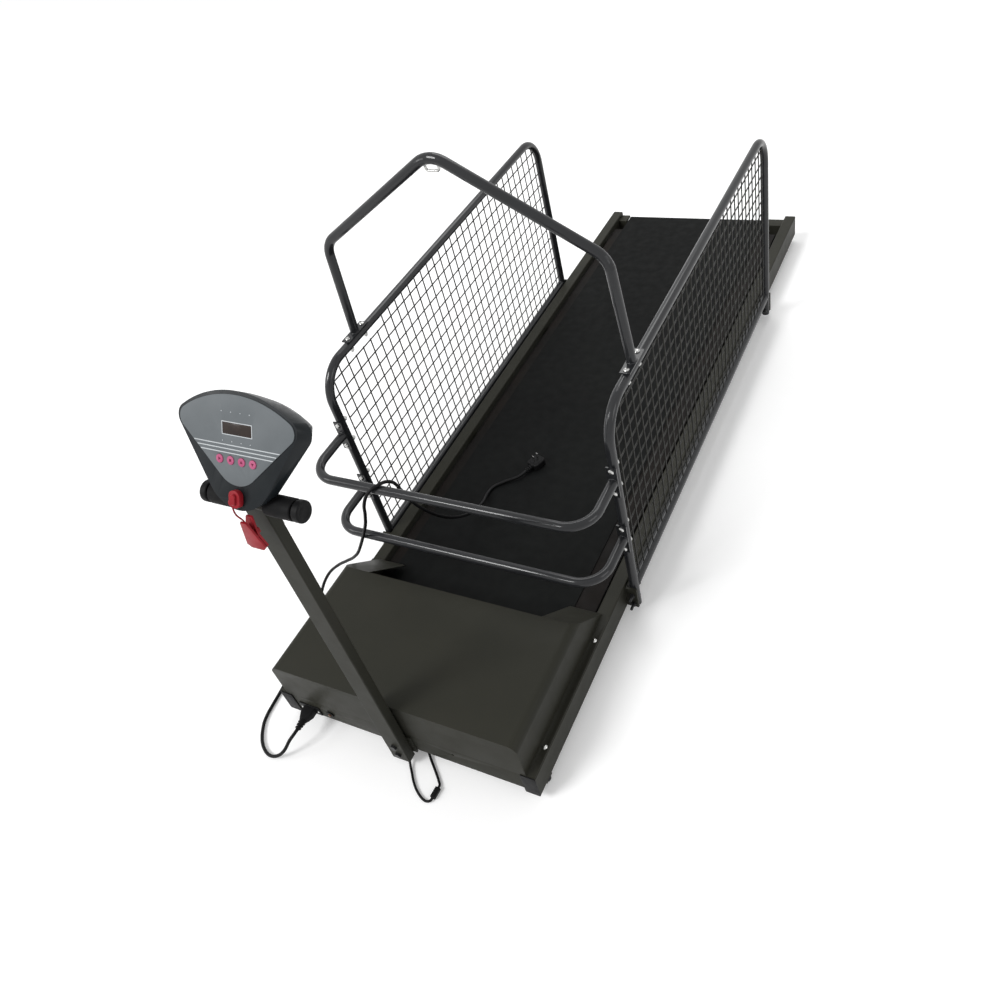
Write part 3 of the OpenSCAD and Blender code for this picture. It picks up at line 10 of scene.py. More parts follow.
import bmesh
import bpy
from mathutils import Matrix, Vector
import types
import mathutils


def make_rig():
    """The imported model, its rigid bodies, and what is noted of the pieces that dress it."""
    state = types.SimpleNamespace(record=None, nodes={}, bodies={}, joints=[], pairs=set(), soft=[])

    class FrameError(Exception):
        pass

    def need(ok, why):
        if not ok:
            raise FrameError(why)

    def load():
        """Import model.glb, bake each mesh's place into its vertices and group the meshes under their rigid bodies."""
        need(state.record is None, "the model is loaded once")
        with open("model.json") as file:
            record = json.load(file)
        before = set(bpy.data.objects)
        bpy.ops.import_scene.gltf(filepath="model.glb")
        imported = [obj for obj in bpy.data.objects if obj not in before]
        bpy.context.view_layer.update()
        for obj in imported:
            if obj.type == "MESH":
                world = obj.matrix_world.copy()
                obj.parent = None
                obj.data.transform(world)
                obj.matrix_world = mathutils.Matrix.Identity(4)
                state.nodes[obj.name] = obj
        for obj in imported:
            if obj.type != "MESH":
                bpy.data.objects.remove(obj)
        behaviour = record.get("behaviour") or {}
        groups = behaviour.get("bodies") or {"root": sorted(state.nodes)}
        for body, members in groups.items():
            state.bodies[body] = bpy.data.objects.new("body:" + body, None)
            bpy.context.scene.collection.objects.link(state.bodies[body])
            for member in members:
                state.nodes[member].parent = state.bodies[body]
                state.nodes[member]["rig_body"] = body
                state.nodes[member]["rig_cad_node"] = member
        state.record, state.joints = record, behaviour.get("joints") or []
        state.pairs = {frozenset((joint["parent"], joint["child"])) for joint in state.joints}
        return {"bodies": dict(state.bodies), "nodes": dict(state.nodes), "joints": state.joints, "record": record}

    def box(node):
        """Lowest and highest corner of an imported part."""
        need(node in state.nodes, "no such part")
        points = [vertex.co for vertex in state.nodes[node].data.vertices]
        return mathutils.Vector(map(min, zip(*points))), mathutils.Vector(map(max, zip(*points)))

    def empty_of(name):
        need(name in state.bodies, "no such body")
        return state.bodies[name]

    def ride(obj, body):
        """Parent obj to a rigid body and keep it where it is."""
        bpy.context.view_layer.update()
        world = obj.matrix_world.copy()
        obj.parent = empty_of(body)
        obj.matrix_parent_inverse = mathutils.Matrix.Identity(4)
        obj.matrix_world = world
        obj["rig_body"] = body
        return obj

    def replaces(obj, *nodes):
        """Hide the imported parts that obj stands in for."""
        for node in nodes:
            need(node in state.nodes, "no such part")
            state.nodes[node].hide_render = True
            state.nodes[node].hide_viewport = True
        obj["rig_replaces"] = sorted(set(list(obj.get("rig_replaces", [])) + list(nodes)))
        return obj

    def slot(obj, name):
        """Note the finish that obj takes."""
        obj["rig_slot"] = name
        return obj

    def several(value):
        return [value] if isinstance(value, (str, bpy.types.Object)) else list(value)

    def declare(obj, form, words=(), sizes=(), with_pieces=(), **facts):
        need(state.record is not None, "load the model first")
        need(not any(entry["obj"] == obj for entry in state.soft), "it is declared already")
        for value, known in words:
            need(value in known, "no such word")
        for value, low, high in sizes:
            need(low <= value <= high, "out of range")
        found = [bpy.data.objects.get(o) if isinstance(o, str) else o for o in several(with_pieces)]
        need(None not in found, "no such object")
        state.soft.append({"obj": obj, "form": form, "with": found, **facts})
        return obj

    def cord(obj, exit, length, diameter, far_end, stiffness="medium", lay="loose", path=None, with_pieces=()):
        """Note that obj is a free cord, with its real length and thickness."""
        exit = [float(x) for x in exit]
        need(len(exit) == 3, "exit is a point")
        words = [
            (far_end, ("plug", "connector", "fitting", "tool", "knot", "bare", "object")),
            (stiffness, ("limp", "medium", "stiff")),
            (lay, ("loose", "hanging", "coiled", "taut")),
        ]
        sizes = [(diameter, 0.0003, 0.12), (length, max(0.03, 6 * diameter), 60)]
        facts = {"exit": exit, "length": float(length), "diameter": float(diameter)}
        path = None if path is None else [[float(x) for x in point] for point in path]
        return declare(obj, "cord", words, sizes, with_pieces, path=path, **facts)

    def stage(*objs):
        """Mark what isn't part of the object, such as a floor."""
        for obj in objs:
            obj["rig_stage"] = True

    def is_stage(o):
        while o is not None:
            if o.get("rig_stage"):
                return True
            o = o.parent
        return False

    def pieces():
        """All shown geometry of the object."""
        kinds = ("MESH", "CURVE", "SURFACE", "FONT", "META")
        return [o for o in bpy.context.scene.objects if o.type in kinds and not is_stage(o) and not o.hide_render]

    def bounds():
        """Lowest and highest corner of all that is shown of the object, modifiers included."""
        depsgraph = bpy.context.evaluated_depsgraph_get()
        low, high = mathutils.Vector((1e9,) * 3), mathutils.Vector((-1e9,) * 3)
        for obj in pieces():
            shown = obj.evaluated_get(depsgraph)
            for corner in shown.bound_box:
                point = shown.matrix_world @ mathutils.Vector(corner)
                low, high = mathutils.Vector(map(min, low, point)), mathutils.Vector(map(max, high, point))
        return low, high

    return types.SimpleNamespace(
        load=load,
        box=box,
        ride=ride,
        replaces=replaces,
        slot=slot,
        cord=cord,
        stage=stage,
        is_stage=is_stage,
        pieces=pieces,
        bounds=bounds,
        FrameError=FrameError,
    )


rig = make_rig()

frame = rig.load()
CAD_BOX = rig.bounds()

LOG = logging.getLogger("dog_treadmill")
MM = 0.001
RAIL_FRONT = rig.box("left_rail")[0].y
SIZE_FILE = "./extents.json"

Pair = tuple[float, float]
Point = tuple[float, float, float]
Section = tuple[float, float, float, float]


class Body(Enum):
    """Bodies that pieces of this script ride on."""

    FRAME = "frame"
    START = "start_button_body"
    STOP = "stop_button_body"
    FASTER = "faster_button_body"
    SLOWER = "slower_button_body"
    KEY = "safety_key_body"


class Effect(Enum):
    """Surface effects that several finishes share."""

    CLOUDS = "soft_clouds"
    GRAIN = "fine_grain"
    DUST = "settled_dust"
    RIBS = "crossed_ribs"
    STREAKS = "drawn_streaks"


class Glyph(Enum):
    """Plain signs on the console buttons."""

    PLAY = "play"
    HALT = "halt"
    UP = "up"
    DOWN = "down"


def linear(code: str) -> tuple[float, float, float, float]:
    """Turn a screen colour into the linear colour that a shader socket takes.

    Args:
        code: Six hexadecimal digits.

    Returns:
        Red, green, blue and an alpha of 1.
    """
    parts = [int(code[i : i + 2], 16) / 255 for i in (0, 2, 4)]
    curve = [c / 12.92 if c <= 0.04045 else ((c + 0.055) / 1.055) ** 2.4 for c in parts]
    return (curve[0], curve[1], curve[2], 1.0)


def in_rails(point: Sequence[float]) -> Vector:
    """Place a point given in millimetres from the rails' front end into the row frame."""
    return Vector((point[0] * MM, RAIL_FRONT + point[1] * MM, point[2] * MM))


def link_object(name: str, data: bpy.types.ID) -> bpy.types.Object:
    """Make an object and link it to the scene.

    Args:
        name: The object's name.
        data: Its mesh, curve, lamp or camera.

    Returns:
        The object.
    """
    made = bpy.data.objects.new(name, data)
    bpy.context.scene.collection.objects.link(made)
    return made


# Shader graphs


@dataclass
class Graph:
    """A node tree with short calls to fill it."""

    tree: bpy.types.NodeTree

    def add(self, kind: str, **values: object) -> bpy.types.Node:
        """Add a node and set its properties.

        Args:
            kind: The node's type name.
            values: Properties by name.

        Returns:
            The new node.
        """
        node = self.tree.nodes.new(kind)
        for name, value in values.items():
            setattr(node, name, value)
        return node

    def feed(self, node: bpy.types.Node, values: Mapping[str | int, object]) -> None:
        """Give a node's inputs what they take.

        Args:
            node: The node.
            values: A socket to link or a value to set, by the input's name or place.
        """
        for key, value in values.items():
            if isinstance(value, bpy.types.NodeSocket):
                self.tree.links.new(value, node.inputs[key])
            else:
                node.inputs[key].default_value = value

    def place(self) -> bpy.types.NodeSocket:
        """Return the coordinates of a surface point in its object."""
        return self.add("ShaderNodeTexCoord").outputs["Object"]

    def split(self, vector: bpy.types.NodeSocket) -> bpy.types.Node:
        """Split a vector.

        Args:
            vector: The vector.

        Returns:
            The node with the outputs X, Y and Z.
        """
        node = self.add("ShaderNodeSeparateXYZ")
        self.feed(node, {"Vector": vector})
        return node

    def math(self, operation: str, a: object, b: object = 0.0) -> bpy.types.NodeSocket:
        """Add a Math node.

        Args:
            operation: The node's operation.
            a: A socket or a number for the first input.
            b: A socket or a number for the second input.

        Returns:
            The node's output.
        """
        node = self.add("ShaderNodeMath", operation=operation)
        self.feed(node, {0: a, 1: b})
        return node.outputs[0]

    def noise(self, vector: bpy.types.NodeSocket, scale: object, detail: float) -> bpy.types.NodeSocket:
        """Add a noise texture.

        Args:
            vector: The coordinates.
            scale: A socket or a number.
            detail: Octaves of the noise.

        Returns:
            The noise's value.
        """
        node = self.add("ShaderNodeTexNoise")
        self.feed(node, {"Vector": vector, "Scale": scale, "Detail": detail})
        return node.outputs["Fac"]

    def remap(self, value: bpy.types.NodeSocket, low: float, high: float, to_low: object = 0.0,
              to_high: object = 1.0) -> bpy.types.NodeSocket:
        """Map a value from one range to another and clamp it.

        Args:
            value: The value.
            low: Where the old range starts.
            high: Where the old range ends.
            to_low: A socket or a number where the new range starts.
            to_high: A socket or a number where the new range ends.

        Returns:
            The mapped value.
        """
        node = self.add("ShaderNodeMapRange")
        self.feed(node, {"Value": value, "From Min": low, "From Max": high,
                         "To Min": to_low, "To Max": to_high})
        return node.outputs["Result"]

    def mix(self, factor: bpy.types.NodeSocket, a: bpy.types.NodeSocket,
            b: bpy.types.NodeSocket) -> bpy.types.NodeSocket:
        """Mix two colours.

        Args:
            factor: Share of the second colour.
            a: First colour.
            b: Second colour.

        Returns:
            The mixed colour.
        """
        node = self.add("ShaderNodeMix", data_type="RGBA")
        colour_a, colour_b, colour_out = 6, 7, 2
        self.feed(node, {0: factor, colour_a: a, colour_b: b})
        return node.outputs[colour_out]


@dataclass(frozen=True)
class NoiseLayer:
    """A layer of noise: its scale and detail, the values that it fades in over, and its share."""

    scale: float
    detail: float
    fade: Pair
    share: float


class EffectShop:
    """Builds each shared effect once, as a shader node group."""

    FLOAT = "NodeSocketFloat"
    COLOUR = "NodeSocketColor"
    SURFACE_IN = {"Scale": FLOAT, "Smooth": FLOAT, "Dull": FLOAT}
    SURFACE_OUT = {"Height": FLOAT, "Roughness": FLOAT}
    PATCH_FADE: Pair = (0.38, 0.66)
    PATCH_DETAIL = 5.0
    GRAIN_DETAIL = 2.0
    GLOSS_FADE: Pair = (0.3, 0.7)
    GLOSS_DETAIL = 4.0
    GLOSS_PER_GRAIN = 0.03
    UPWARD_FADE: Pair = (0.55, 0.95)
    DUST_FILM = NoiseLayer(7.0, 6.0, (0.4, 0.75), 0.7)
    DUST_SPECKS = NoiseLayer(420.0, 2.0, (0.62, 0.78), 0.5)
    STREAK_STRETCH: Point = (0.04, 1.0, 1.0)
    STREAK_DETAIL = 4.0

    def __init__(self) -> None:
        """Start with no groups made."""
        self._made: dict[Effect, bpy.types.NodeTree] = {}

    def group(self, effect: Effect) -> bpy.types.NodeTree:
        """Return an effect's group, and build it at first use.

        Args:
            effect: The effect.

        Returns:
            The node group.
        """
        if effect not in self._made:
            build = {Effect.CLOUDS: self._clouds, Effect.GRAIN: self._grain, Effect.DUST: self._dust,
                     Effect.RIBS: self._ribs, Effect.STREAKS: self._streaks}[effect]
            self._made[effect] = build()
        return self._made[effect]

    def _open(self, effect: Effect, inputs: Mapping[str, str],
              outputs: Mapping[str, str]) -> tuple[Graph, Mapping[str, bpy.types.NodeSocket], bpy.types.Node]:
        """Make an empty group with its sockets.

        Args:
            effect: The effect that the group is for.
            inputs: Type of each input by its name.
            outputs: Type of each output by its name.

        Returns:
            The graph, the sockets of its inputs and its output node.
        """
        tree = bpy.data.node_groups.new(effect.value, "ShaderNodeTree")
        for way, sockets in (("INPUT", inputs), ("OUTPUT", outputs)):
            for label, kind in sockets.items():
                tree.interface.new_socket(label, in_out=way, socket_type=kind)
        graph = Graph(tree)
        return graph, graph.add("NodeGroupInput").outputs, graph.add("NodeGroupOutput")

    def _clouds(self) -> bpy.types.NodeTree:
        """Build soft patches of a second colour.

        Returns:
            The node group.
        """
        graph, ins, outs = self._open(
            Effect.CLOUDS,
            {"Colour": self.COLOUR, "Tint": self.COLOUR, "Scale": self.FLOAT, "Amount": self.FLOAT},
            {"Colour": self.COLOUR})
        patches = graph.remap(graph.noise(graph.place(), ins["Scale"], self.PATCH_DETAIL), *self.PATCH_FADE)
        share = graph.math("MULTIPLY", patches, ins["Amount"])
        graph.feed(outs, {"Colour": graph.mix(share, ins["Colour"], ins["Tint"])})
        return graph.tree

    def _grain(self) -> bpy.types.NodeTree:
        """Build a fine bump with a slow change of gloss.

        Returns:
            The node group.
        """
        graph, ins, outs = self._open(Effect.GRAIN, self.SURFACE_IN, self.SURFACE_OUT)
        place = graph.place()
        slow_scale = graph.math("MULTIPLY", ins["Scale"], self.GLOSS_PER_GRAIN)
        slow = graph.noise(place, slow_scale, self.GLOSS_DETAIL)
        graph.feed(outs, {"Height": graph.noise(place, ins["Scale"], self.GRAIN_DETAIL),
                          "Roughness": graph.remap(slow, *self.GLOSS_FADE, ins["Smooth"], ins["Dull"])})
        return graph.tree

    def _dust(self) -> bpy.types.NodeTree:
        """Build a thin film of dust on faces that look up.

        Returns:
            The node group.
        """
        graph, ins, outs = self._open(
            Effect.DUST, {"Colour": self.COLOUR, "Dust": self.COLOUR, "Amount": self.FLOAT},
            {"Colour": self.COLOUR})
        place = graph.place()
        layers = []
        for layer in (self.DUST_FILM, self.DUST_SPECKS):
            cover = graph.remap(graph.noise(place, layer.scale, layer.detail), *layer.fade)
            layers.append(graph.math("MULTIPLY", cover, layer.share))
        normal = graph.split(graph.add("ShaderNodeNewGeometry").outputs["Normal"])
        upward = graph.remap(normal.outputs["Z"], *self.UPWARD_FADE)
        settled = graph.math("MULTIPLY", graph.math("ADD", *layers), upward)
        mask = graph.math("MULTIPLY", settled, ins["Amount"])
        graph.feed(outs, {"Colour": graph.mix(mask, ins["Colour"], ins["Dust"])})
        return graph.tree

    def _ribs(self) -> bpy.types.NodeTree:
        """Build a fine lattice of crossed ribs in the belt's plane.

        Returns:
            The node group.
        """
        graph, ins, outs = self._open(Effect.RIBS, {"Scale": self.FLOAT}, {"Height": self.FLOAT})
        place = graph.split(graph.place())
        waves = [graph.math("SINE", graph.math("MULTIPLY", place.outputs[axis], ins["Scale"]))
                 for axis in ("X", "Y")]
        graph.feed(outs, {"Height": graph.math("MULTIPLY", *waves)})
        return graph.tree

    def _streaks(self) -> bpy.types.NodeTree:
        """Build fine streaks along X, as drawn or turned steel has.

        Returns:
            The node group.
        """
        graph, ins, outs = self._open(Effect.STREAKS, self.SURFACE_IN, self.SURFACE_OUT)
        stretch = graph.add("ShaderNodeMapping")
        graph.feed(stretch, {"Vector": graph.place(), "Scale": self.STREAK_STRETCH})
        lines = graph.noise(stretch.outputs["Vector"], ins["Scale"], self.STREAK_DETAIL)
        graph.feed(outs, {"Height": lines,
                          "Roughness": graph.remap(lines, *self.GLOSS_FADE, ins["Smooth"], ins["Dull"])})
        return graph.tree


EFFECTS = EffectShop()


# Finishes


@dataclass(frozen=True)
class Tone:
    """A colour with soft patches of a second one: their scale and how strong they are."""

    colour: str
    tint: str
    scale: float
    amount: float


@dataclass(frozen=True)
class Grain:
    """A fine bump, its depth in metres and strength, and the least and most roughness."""

    scale: float
    depth: float
    bump: float
    smooth: float
    dull: float


@dataclass(frozen=True)
class Dust:
    """A film of dust."""

    amount: float
    colour: str


@dataclass(frozen=True)
class Finish:
    """A surface finish with patches, grain and, where it is set, dust, ribs or streaks."""

    slot: str
    tone: Tone
    grain: Grain
    metallic: float = 0.0
    specular: float = 0.15
    coat: float = 0.0
    coat_rough: float = 0.15
    dust: Dust | None = None
    rib_pitch: float = 0.0
    streaked: bool = False

    @staticmethod
    def _effect(graph: Graph, effect: Effect, **values: object) -> bpy.types.Node:
        """Place an effect's group in a material.

        Args:
            graph: The material's graph.
            effect: The effect.
            values: Sockets, numbers and colours for the group's inputs.

        Returns:
            The group's node.
        """
        node = graph.add("ShaderNodeGroup", node_tree=EFFECTS.group(effect))
        graph.feed(node, values)
        return node

    def material(self, name: str) -> bpy.types.Material:
        """Build the finish's material.

        Args:
            name: The material's name.

        Returns:
            The material.
        """
        made = bpy.data.materials.new(name)
        made.use_nodes = True
        graph = Graph(made.node_tree)
        tone, grain = self.tone, self.grain
        colour = self._effect(graph, Effect.CLOUDS, Colour=linear(tone.colour), Tint=linear(tone.tint),
                              Scale=tone.scale, Amount=tone.amount).outputs["Colour"]
        if self.dust:
            colour = self._effect(graph, Effect.DUST, Colour=colour, Dust=linear(self.dust.colour),
                                  Amount=self.dust.amount).outputs["Colour"]
        surface = self._effect(graph, Effect.STREAKS if self.streaked else Effect.GRAIN,
                               Scale=grain.scale, Smooth=grain.smooth, Dull=grain.dull)
        height = surface.outputs["Height"]
        if self.rib_pitch:
            ribs = self._effect(graph, Effect.RIBS, Scale=2 * math.pi / self.rib_pitch)
            height = graph.math("ADD", height, ribs.outputs["Height"])
        bump = graph.add("ShaderNodeBump")
        graph.feed(bump, {"Strength": grain.bump, "Distance": grain.depth, "Height": height})
        graph.feed(made.node_tree.nodes["Principled BSDF"], {
            "Base Color": colour, "Roughness": surface.outputs["Roughness"], "Normal": bump.outputs["Normal"],
            "Metallic": self.metallic, "Specular IOR Level": self.specular, "Coat Weight": self.coat,
            "Coat Roughness": self.coat_rough})
        return made


class Finishes(Enum):
    """Every finish of the treadmill. The first one with a slot is the slot's own."""

    FRAME_PAINT = Finish(
        "frame_paint", Tone("272721", "2e2d26", 6.0, 0.35), Grain(1100.0, 0.00006, 0.3, 0.47, 0.53),
        specular=0.13, dust=Dust(0.02, "5c5a50"))
    TUBE_PAINT = Finish(
        "tube_paint", Tone("1f2022", "28292b", 14.0, 0.5), Grain(700.0, 0.00004, 0.12, 0.38, 0.5),
        specular=0.04, coat=0.65, coat_rough=0.12)
    WIRE_MESH = Finish(
        "wire_mesh", Tone("1d1d1a", "2a2925", 60.0, 0.6), Grain(1500.0, 0.00004, 0.3, 0.28, 0.42),
        specular=0.25)
    BELT_RUBBER = Finish(
        "belt_rubber", Tone("0a0b0b", "111312", 5.0, 0.4), Grain(1400.0, 0.0001, 0.25, 0.55, 0.7),
        specular=0.07, dust=Dust(0.03, "3a3b38"), rib_pitch=0.0024)
    BLACK_RUBBER = Finish(
        "black_rubber", Tone("0d0d0e", "151516", 30.0, 0.5), Grain(1600.0, 0.00012, 0.4, 0.55, 0.75),
        specular=0.12)
    DECK_BOARD = Finish(
        "deck_board", Tone("0d0b0a", "18130f", 12.0, 0.6), Grain(900.0, 0.00005, 0.3, 0.45, 0.6),
        specular=0.08)
    BARE_STEEL = Finish(
        "bare_steel", Tone("a8a8a6", "8e8e8c", 20.0, 0.4), Grain(900.0, 0.00003, 0.25, 0.22, 0.38),
        metallic=1.0, streaked=True)
    ZINC_STEEL = Finish(
        "zinc_steel", Tone("6c6c6a", "545350", 60.0, 0.6), Grain(1200.0, 0.00004, 0.3, 0.3, 0.45),
        metallic=1.0)
    BRIGHT_SCREW = Finish(
        "bright_screw", Tone("c4c4c2", "aaaaa8", 80.0, 0.4), Grain(1500.0, 0.00002, 0.2, 0.14, 0.28),
        metallic=1.0)
    BLACK_STEEL = Finish(
        "black_steel", Tone("161617", "202021", 70.0, 0.5), Grain(1400.0, 0.00003, 0.25, 0.28, 0.42),
        specular=0.3)
    MOTOR_PAINT = Finish(
        "motor_paint", Tone("141415", "1d1d1f", 16.0, 0.5), Grain(900.0, 0.00005, 0.3, 0.3, 0.45))
    BLACK_PLASTIC = Finish(
        "black_plastic", Tone("0f0f10", "171718", 40.0, 0.5), Grain(1700.0, 0.00006, 0.35, 0.42, 0.58),
        specular=0.12)
    AMBER_PLASTIC = Finish(
        "amber_plastic", Tone("4a2a12", "6a4220", 60.0, 0.5), Grain(1700.0, 0.00003, 0.2, 0.2, 0.35),
        coat=0.3)
    CORD_PVC = Finish(
        "cord_pvc", Tone("0a0a0b", "131314", 50.0, 0.5), Grain(1800.0, 0.00004, 0.3, 0.38, 0.52))
    CONSOLE_SHELL = Finish(
        "console_shell", Tone("161a1d", "1f2427", 18.0, 0.5), Grain(1900.0, 0.00006, 0.35, 0.3, 0.42),
        specular=0.17)
    OVERLAY_FILM = Finish(
        "overlay_film", Tone("676c6f", "6f7477", 22.0, 0.6), Grain(2200.0, 0.00002, 0.25, 0.42, 0.55))
    SMOKED_WINDOW = Finish(
        "smoked_window", Tone("2b2421", "3a2f29", 70.0, 0.6), Grain(1500.0, 0.00001, 0.1, 0.14, 0.24),
        coat=0.15)
    CIRCUIT_BOARD = Finish(
        "circuit_board", Tone("174a2c", "24623c", 90.0, 0.6), Grain(1500.0, 0.00005, 0.3, 0.35, 0.5))
    PINK_PLASTIC = Finish(
        "pink_plastic", Tone("b4557a", "c26c8d", 90.0, 0.6), Grain(1900.0, 0.00003, 0.25, 0.35, 0.48))
    RED_PLASTIC = Finish(
        "red_plastic", Tone("8c1b23", "9d2630", 70.0, 0.6), Grain(1700.0, 0.00005, 0.3, 0.32, 0.46),
        specular=0.16)
    RED_CORD = Finish(
        "red_cord", Tone("7a1a22", "98262f", 300.0, 0.7), Grain(2600.0, 0.0002, 0.5, 0.7, 0.85),
        specular=0.1)
    PRINT_WHITE = Finish(
        "overlay_film", Tone("c9cdd0", "b8bcbf", 60.0, 0.5), Grain(2200.0, 0.00001, 0.2, 0.4, 0.5))
    PRINT_DARK = Finish(
        "pink_plastic", Tone("6a1c3a", "7c2a48", 120.0, 0.5), Grain(2200.0, 0.00001, 0.2, 0.4, 0.5))


class Wardrobe:
    """Hands out materials, each built once."""

    def __init__(self) -> None:
        """Start with no materials made."""
        self._made: dict[Finishes, bpy.types.Material] = {}
        self._by_slot = {finish.value.slot: finish for finish in reversed(Finishes)}

    def dress(self, piece: bpy.types.Object, finish: Finishes) -> None:
        """Give a piece its one material and its slot.

        Args:
            piece: The piece.
            finish: Its finish.
        """
        if finish not in self._made:
            self._made[finish] = finish.value.material(finish.name.lower())
        piece.data.materials.clear()
        piece.data.materials.append(self._made[finish])
        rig.slot(piece, finish.value.slot)

    def for_slot(self, slot: str) -> Finishes:
        """Return the finish of one of the record's slots."""
        return self._by_slot[slot]


WARDROBE = Wardrobe()


# Meshes


def rounded_ring(width: float, height: float, radius: float, steps: int = 5) -> list[Pair]:
    """Outline of a rectangle with round corners, counter-clockwise about the origin.

    Args:
        width: Width along the first axis.
        height: Height along the second axis.
        radius: Corner radius.
        steps: Steps in each corner.

    Returns:
        The outline's points.
    """
    least_flat = 1e-6
    radius = min(radius, width / 2 - least_flat, height / 2 - least_flat)
    ring = []
    for k, (sx, sy) in enumerate(((1, 1), (-1, 1), (-1, -1), (1, -1))):
        for i in range(steps + 1):
            turn = math.radians(90 * k + 90 * i / steps)
            ring.append((sx * (width / 2 - radius) + radius * math.cos(turn),
                         sy * (height / 2 - radius) + radius * math.sin(turn)))
    return ring


def shade(mesh: bpy.types.Mesh, smooth_angle: float) -> None:
    """Shade a mesh smooth, apart from edges sharper than an angle in degrees."""
    mesh.polygons.foreach_set("use_smooth", [True] * len(mesh.polygons))
    mesh.set_sharp_from_angle(angle=math.radians(smooth_angle))


class MeshShop:
    """Builds closed meshes and links them as pieces."""

    @staticmethod
    def piece(name: str, build: bmesh.types.BMesh, finish: Finishes, body: Body = Body.FRAME,
              smooth_angle: float = 40.0) -> bpy.types.Object:
        """Turn a built mesh into a dressed piece on its body.

        Args:
            name: The piece's name.
            build: The mesh, in the row frame. It is freed.
            finish: The piece's finish.
            body: The body that it rides on.
            smooth_angle: Edges sharper than this stay sharp, in degrees.

        Returns:
            The piece.
        """
        bmesh.ops.recalc_face_normals(build, faces=build.faces)
        mesh = bpy.data.meshes.new(name)
        build.to_mesh(mesh)
        build.free()
        shade(mesh, smooth_angle)
        made = link_object(name, mesh)
        WARDROBE.dress(made, finish)
        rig.ride(made, body.value)
        LOG.info("piece %s: %d faces", name, len(mesh.polygons))
        return made

    @staticmethod
    def loft(build: bmesh.types.BMesh, rings: Iterable[Sequence[Vector]], closed: bool = False) -> None:
        """Skin a row of rings with the same number of points.

        Args:
            build: The mesh to add to.
            rings: The rings, in order.
            closed: Join the last ring to the first and leave out the ends.
        """
        rows = [[build.verts.new(p) for p in ring] for ring in rings]
        count = len(rows[0])
        pairs = list(zip(rows, rows[1:])) + ([(rows[-1], rows[0])] if closed else [])
        for a, b in pairs:
            for k in range(count):
                build.faces.new((a[k], a[(k + 1) % count], b[(k + 1) % count], b[k]))
        if not closed:
            build.faces.new(rows[0][::-1])
            build.faces.new(rows[-1])

    @classmethod
    def sweep(cls, build: bmesh.types.BMesh, path: Sequence[Vector], radius: float, sides: int,
              closed: bool = False) -> None:
        """Run a round section along a path.

        Args:
            build: The mesh to add to.
            path: Points of the path.
            radius: Radius of the section in metres.
            sides: Sides of the section.
            closed: The path is a loop.
        """
        count = len(path)
        rings, across = [], None
        for i, point in enumerate(path):
            if closed:
                along = (path[(i + 1) % count] - path[i - 1]).normalized()
            else:
                along = (path[min(i + 1, count - 1)] - path[max(i - 1, 0)]).normalized()
            if across is None:
                across = along.orthogonal().normalized()
            across = (across - across.dot(along) * along).normalized()
            other = along.cross(across)
            rings.append([point + radius * (math.cos(t) * across + math.sin(t) * other)
                          for t in (2 * math.pi * k / sides for k in range(sides))])
        cls.loft(build, rings, closed)

    @classmethod
    def plate(cls, build: bmesh.types.BMesh, outline: Sequence[Pair], place: Matrix, low: float, high: float,
              edge: float = 0.0) -> None:
        """Extrude an outline between two heights, with softened rims, all in millimetres.

        Args:
            build: The mesh to add to.
            outline: Points in the place's XY plane.
            place: Where the outline lies.
            low: Lower height along the place's Z.
            high: Upper height along the place's Z.
            edge: Size of the rims' softening.
        """
        middle = Vector((sum(p[0] for p in outline), sum(p[1] for p in outline))) / len(outline)
        arms = [Vector(p) - middle for p in outline]
        levels = [(low, 1.0), (high, 1.0)]
        if edge:
            inner = 1 - edge / max(arm.length for arm in arms)
            levels = [(low, inner), (low + edge, 1.0), (high - edge, 1.0), (high, inner)]
        cls.loft(build, ([place @ (MM * Vector((*(middle + share * arm), z))) for arm in arms]
                         for z, share in levels))

    @classmethod
    def lathe(cls, build: bmesh.types.BMesh, profile: Sequence[Pair], place: Matrix, closed: bool = False,
              steps: int = 40) -> None:
        """Turn a profile of (height, radius) points, in millimetres, about the place's Z axis.

        Args:
            build: The mesh to add to.
            profile: Points from one end to the other.
            place: Where the axis lies.
            closed: The profile is a loop, as on a sleeve.
            steps: Steps round the axis.
        """
        turns = [2 * math.pi * k / steps for k in range(steps)]
        cls.loft(build, ([place @ (MM * Vector((r * math.cos(t), r * math.sin(t), h))) for t in turns]
                         for h, r in profile), closed)


# Cords


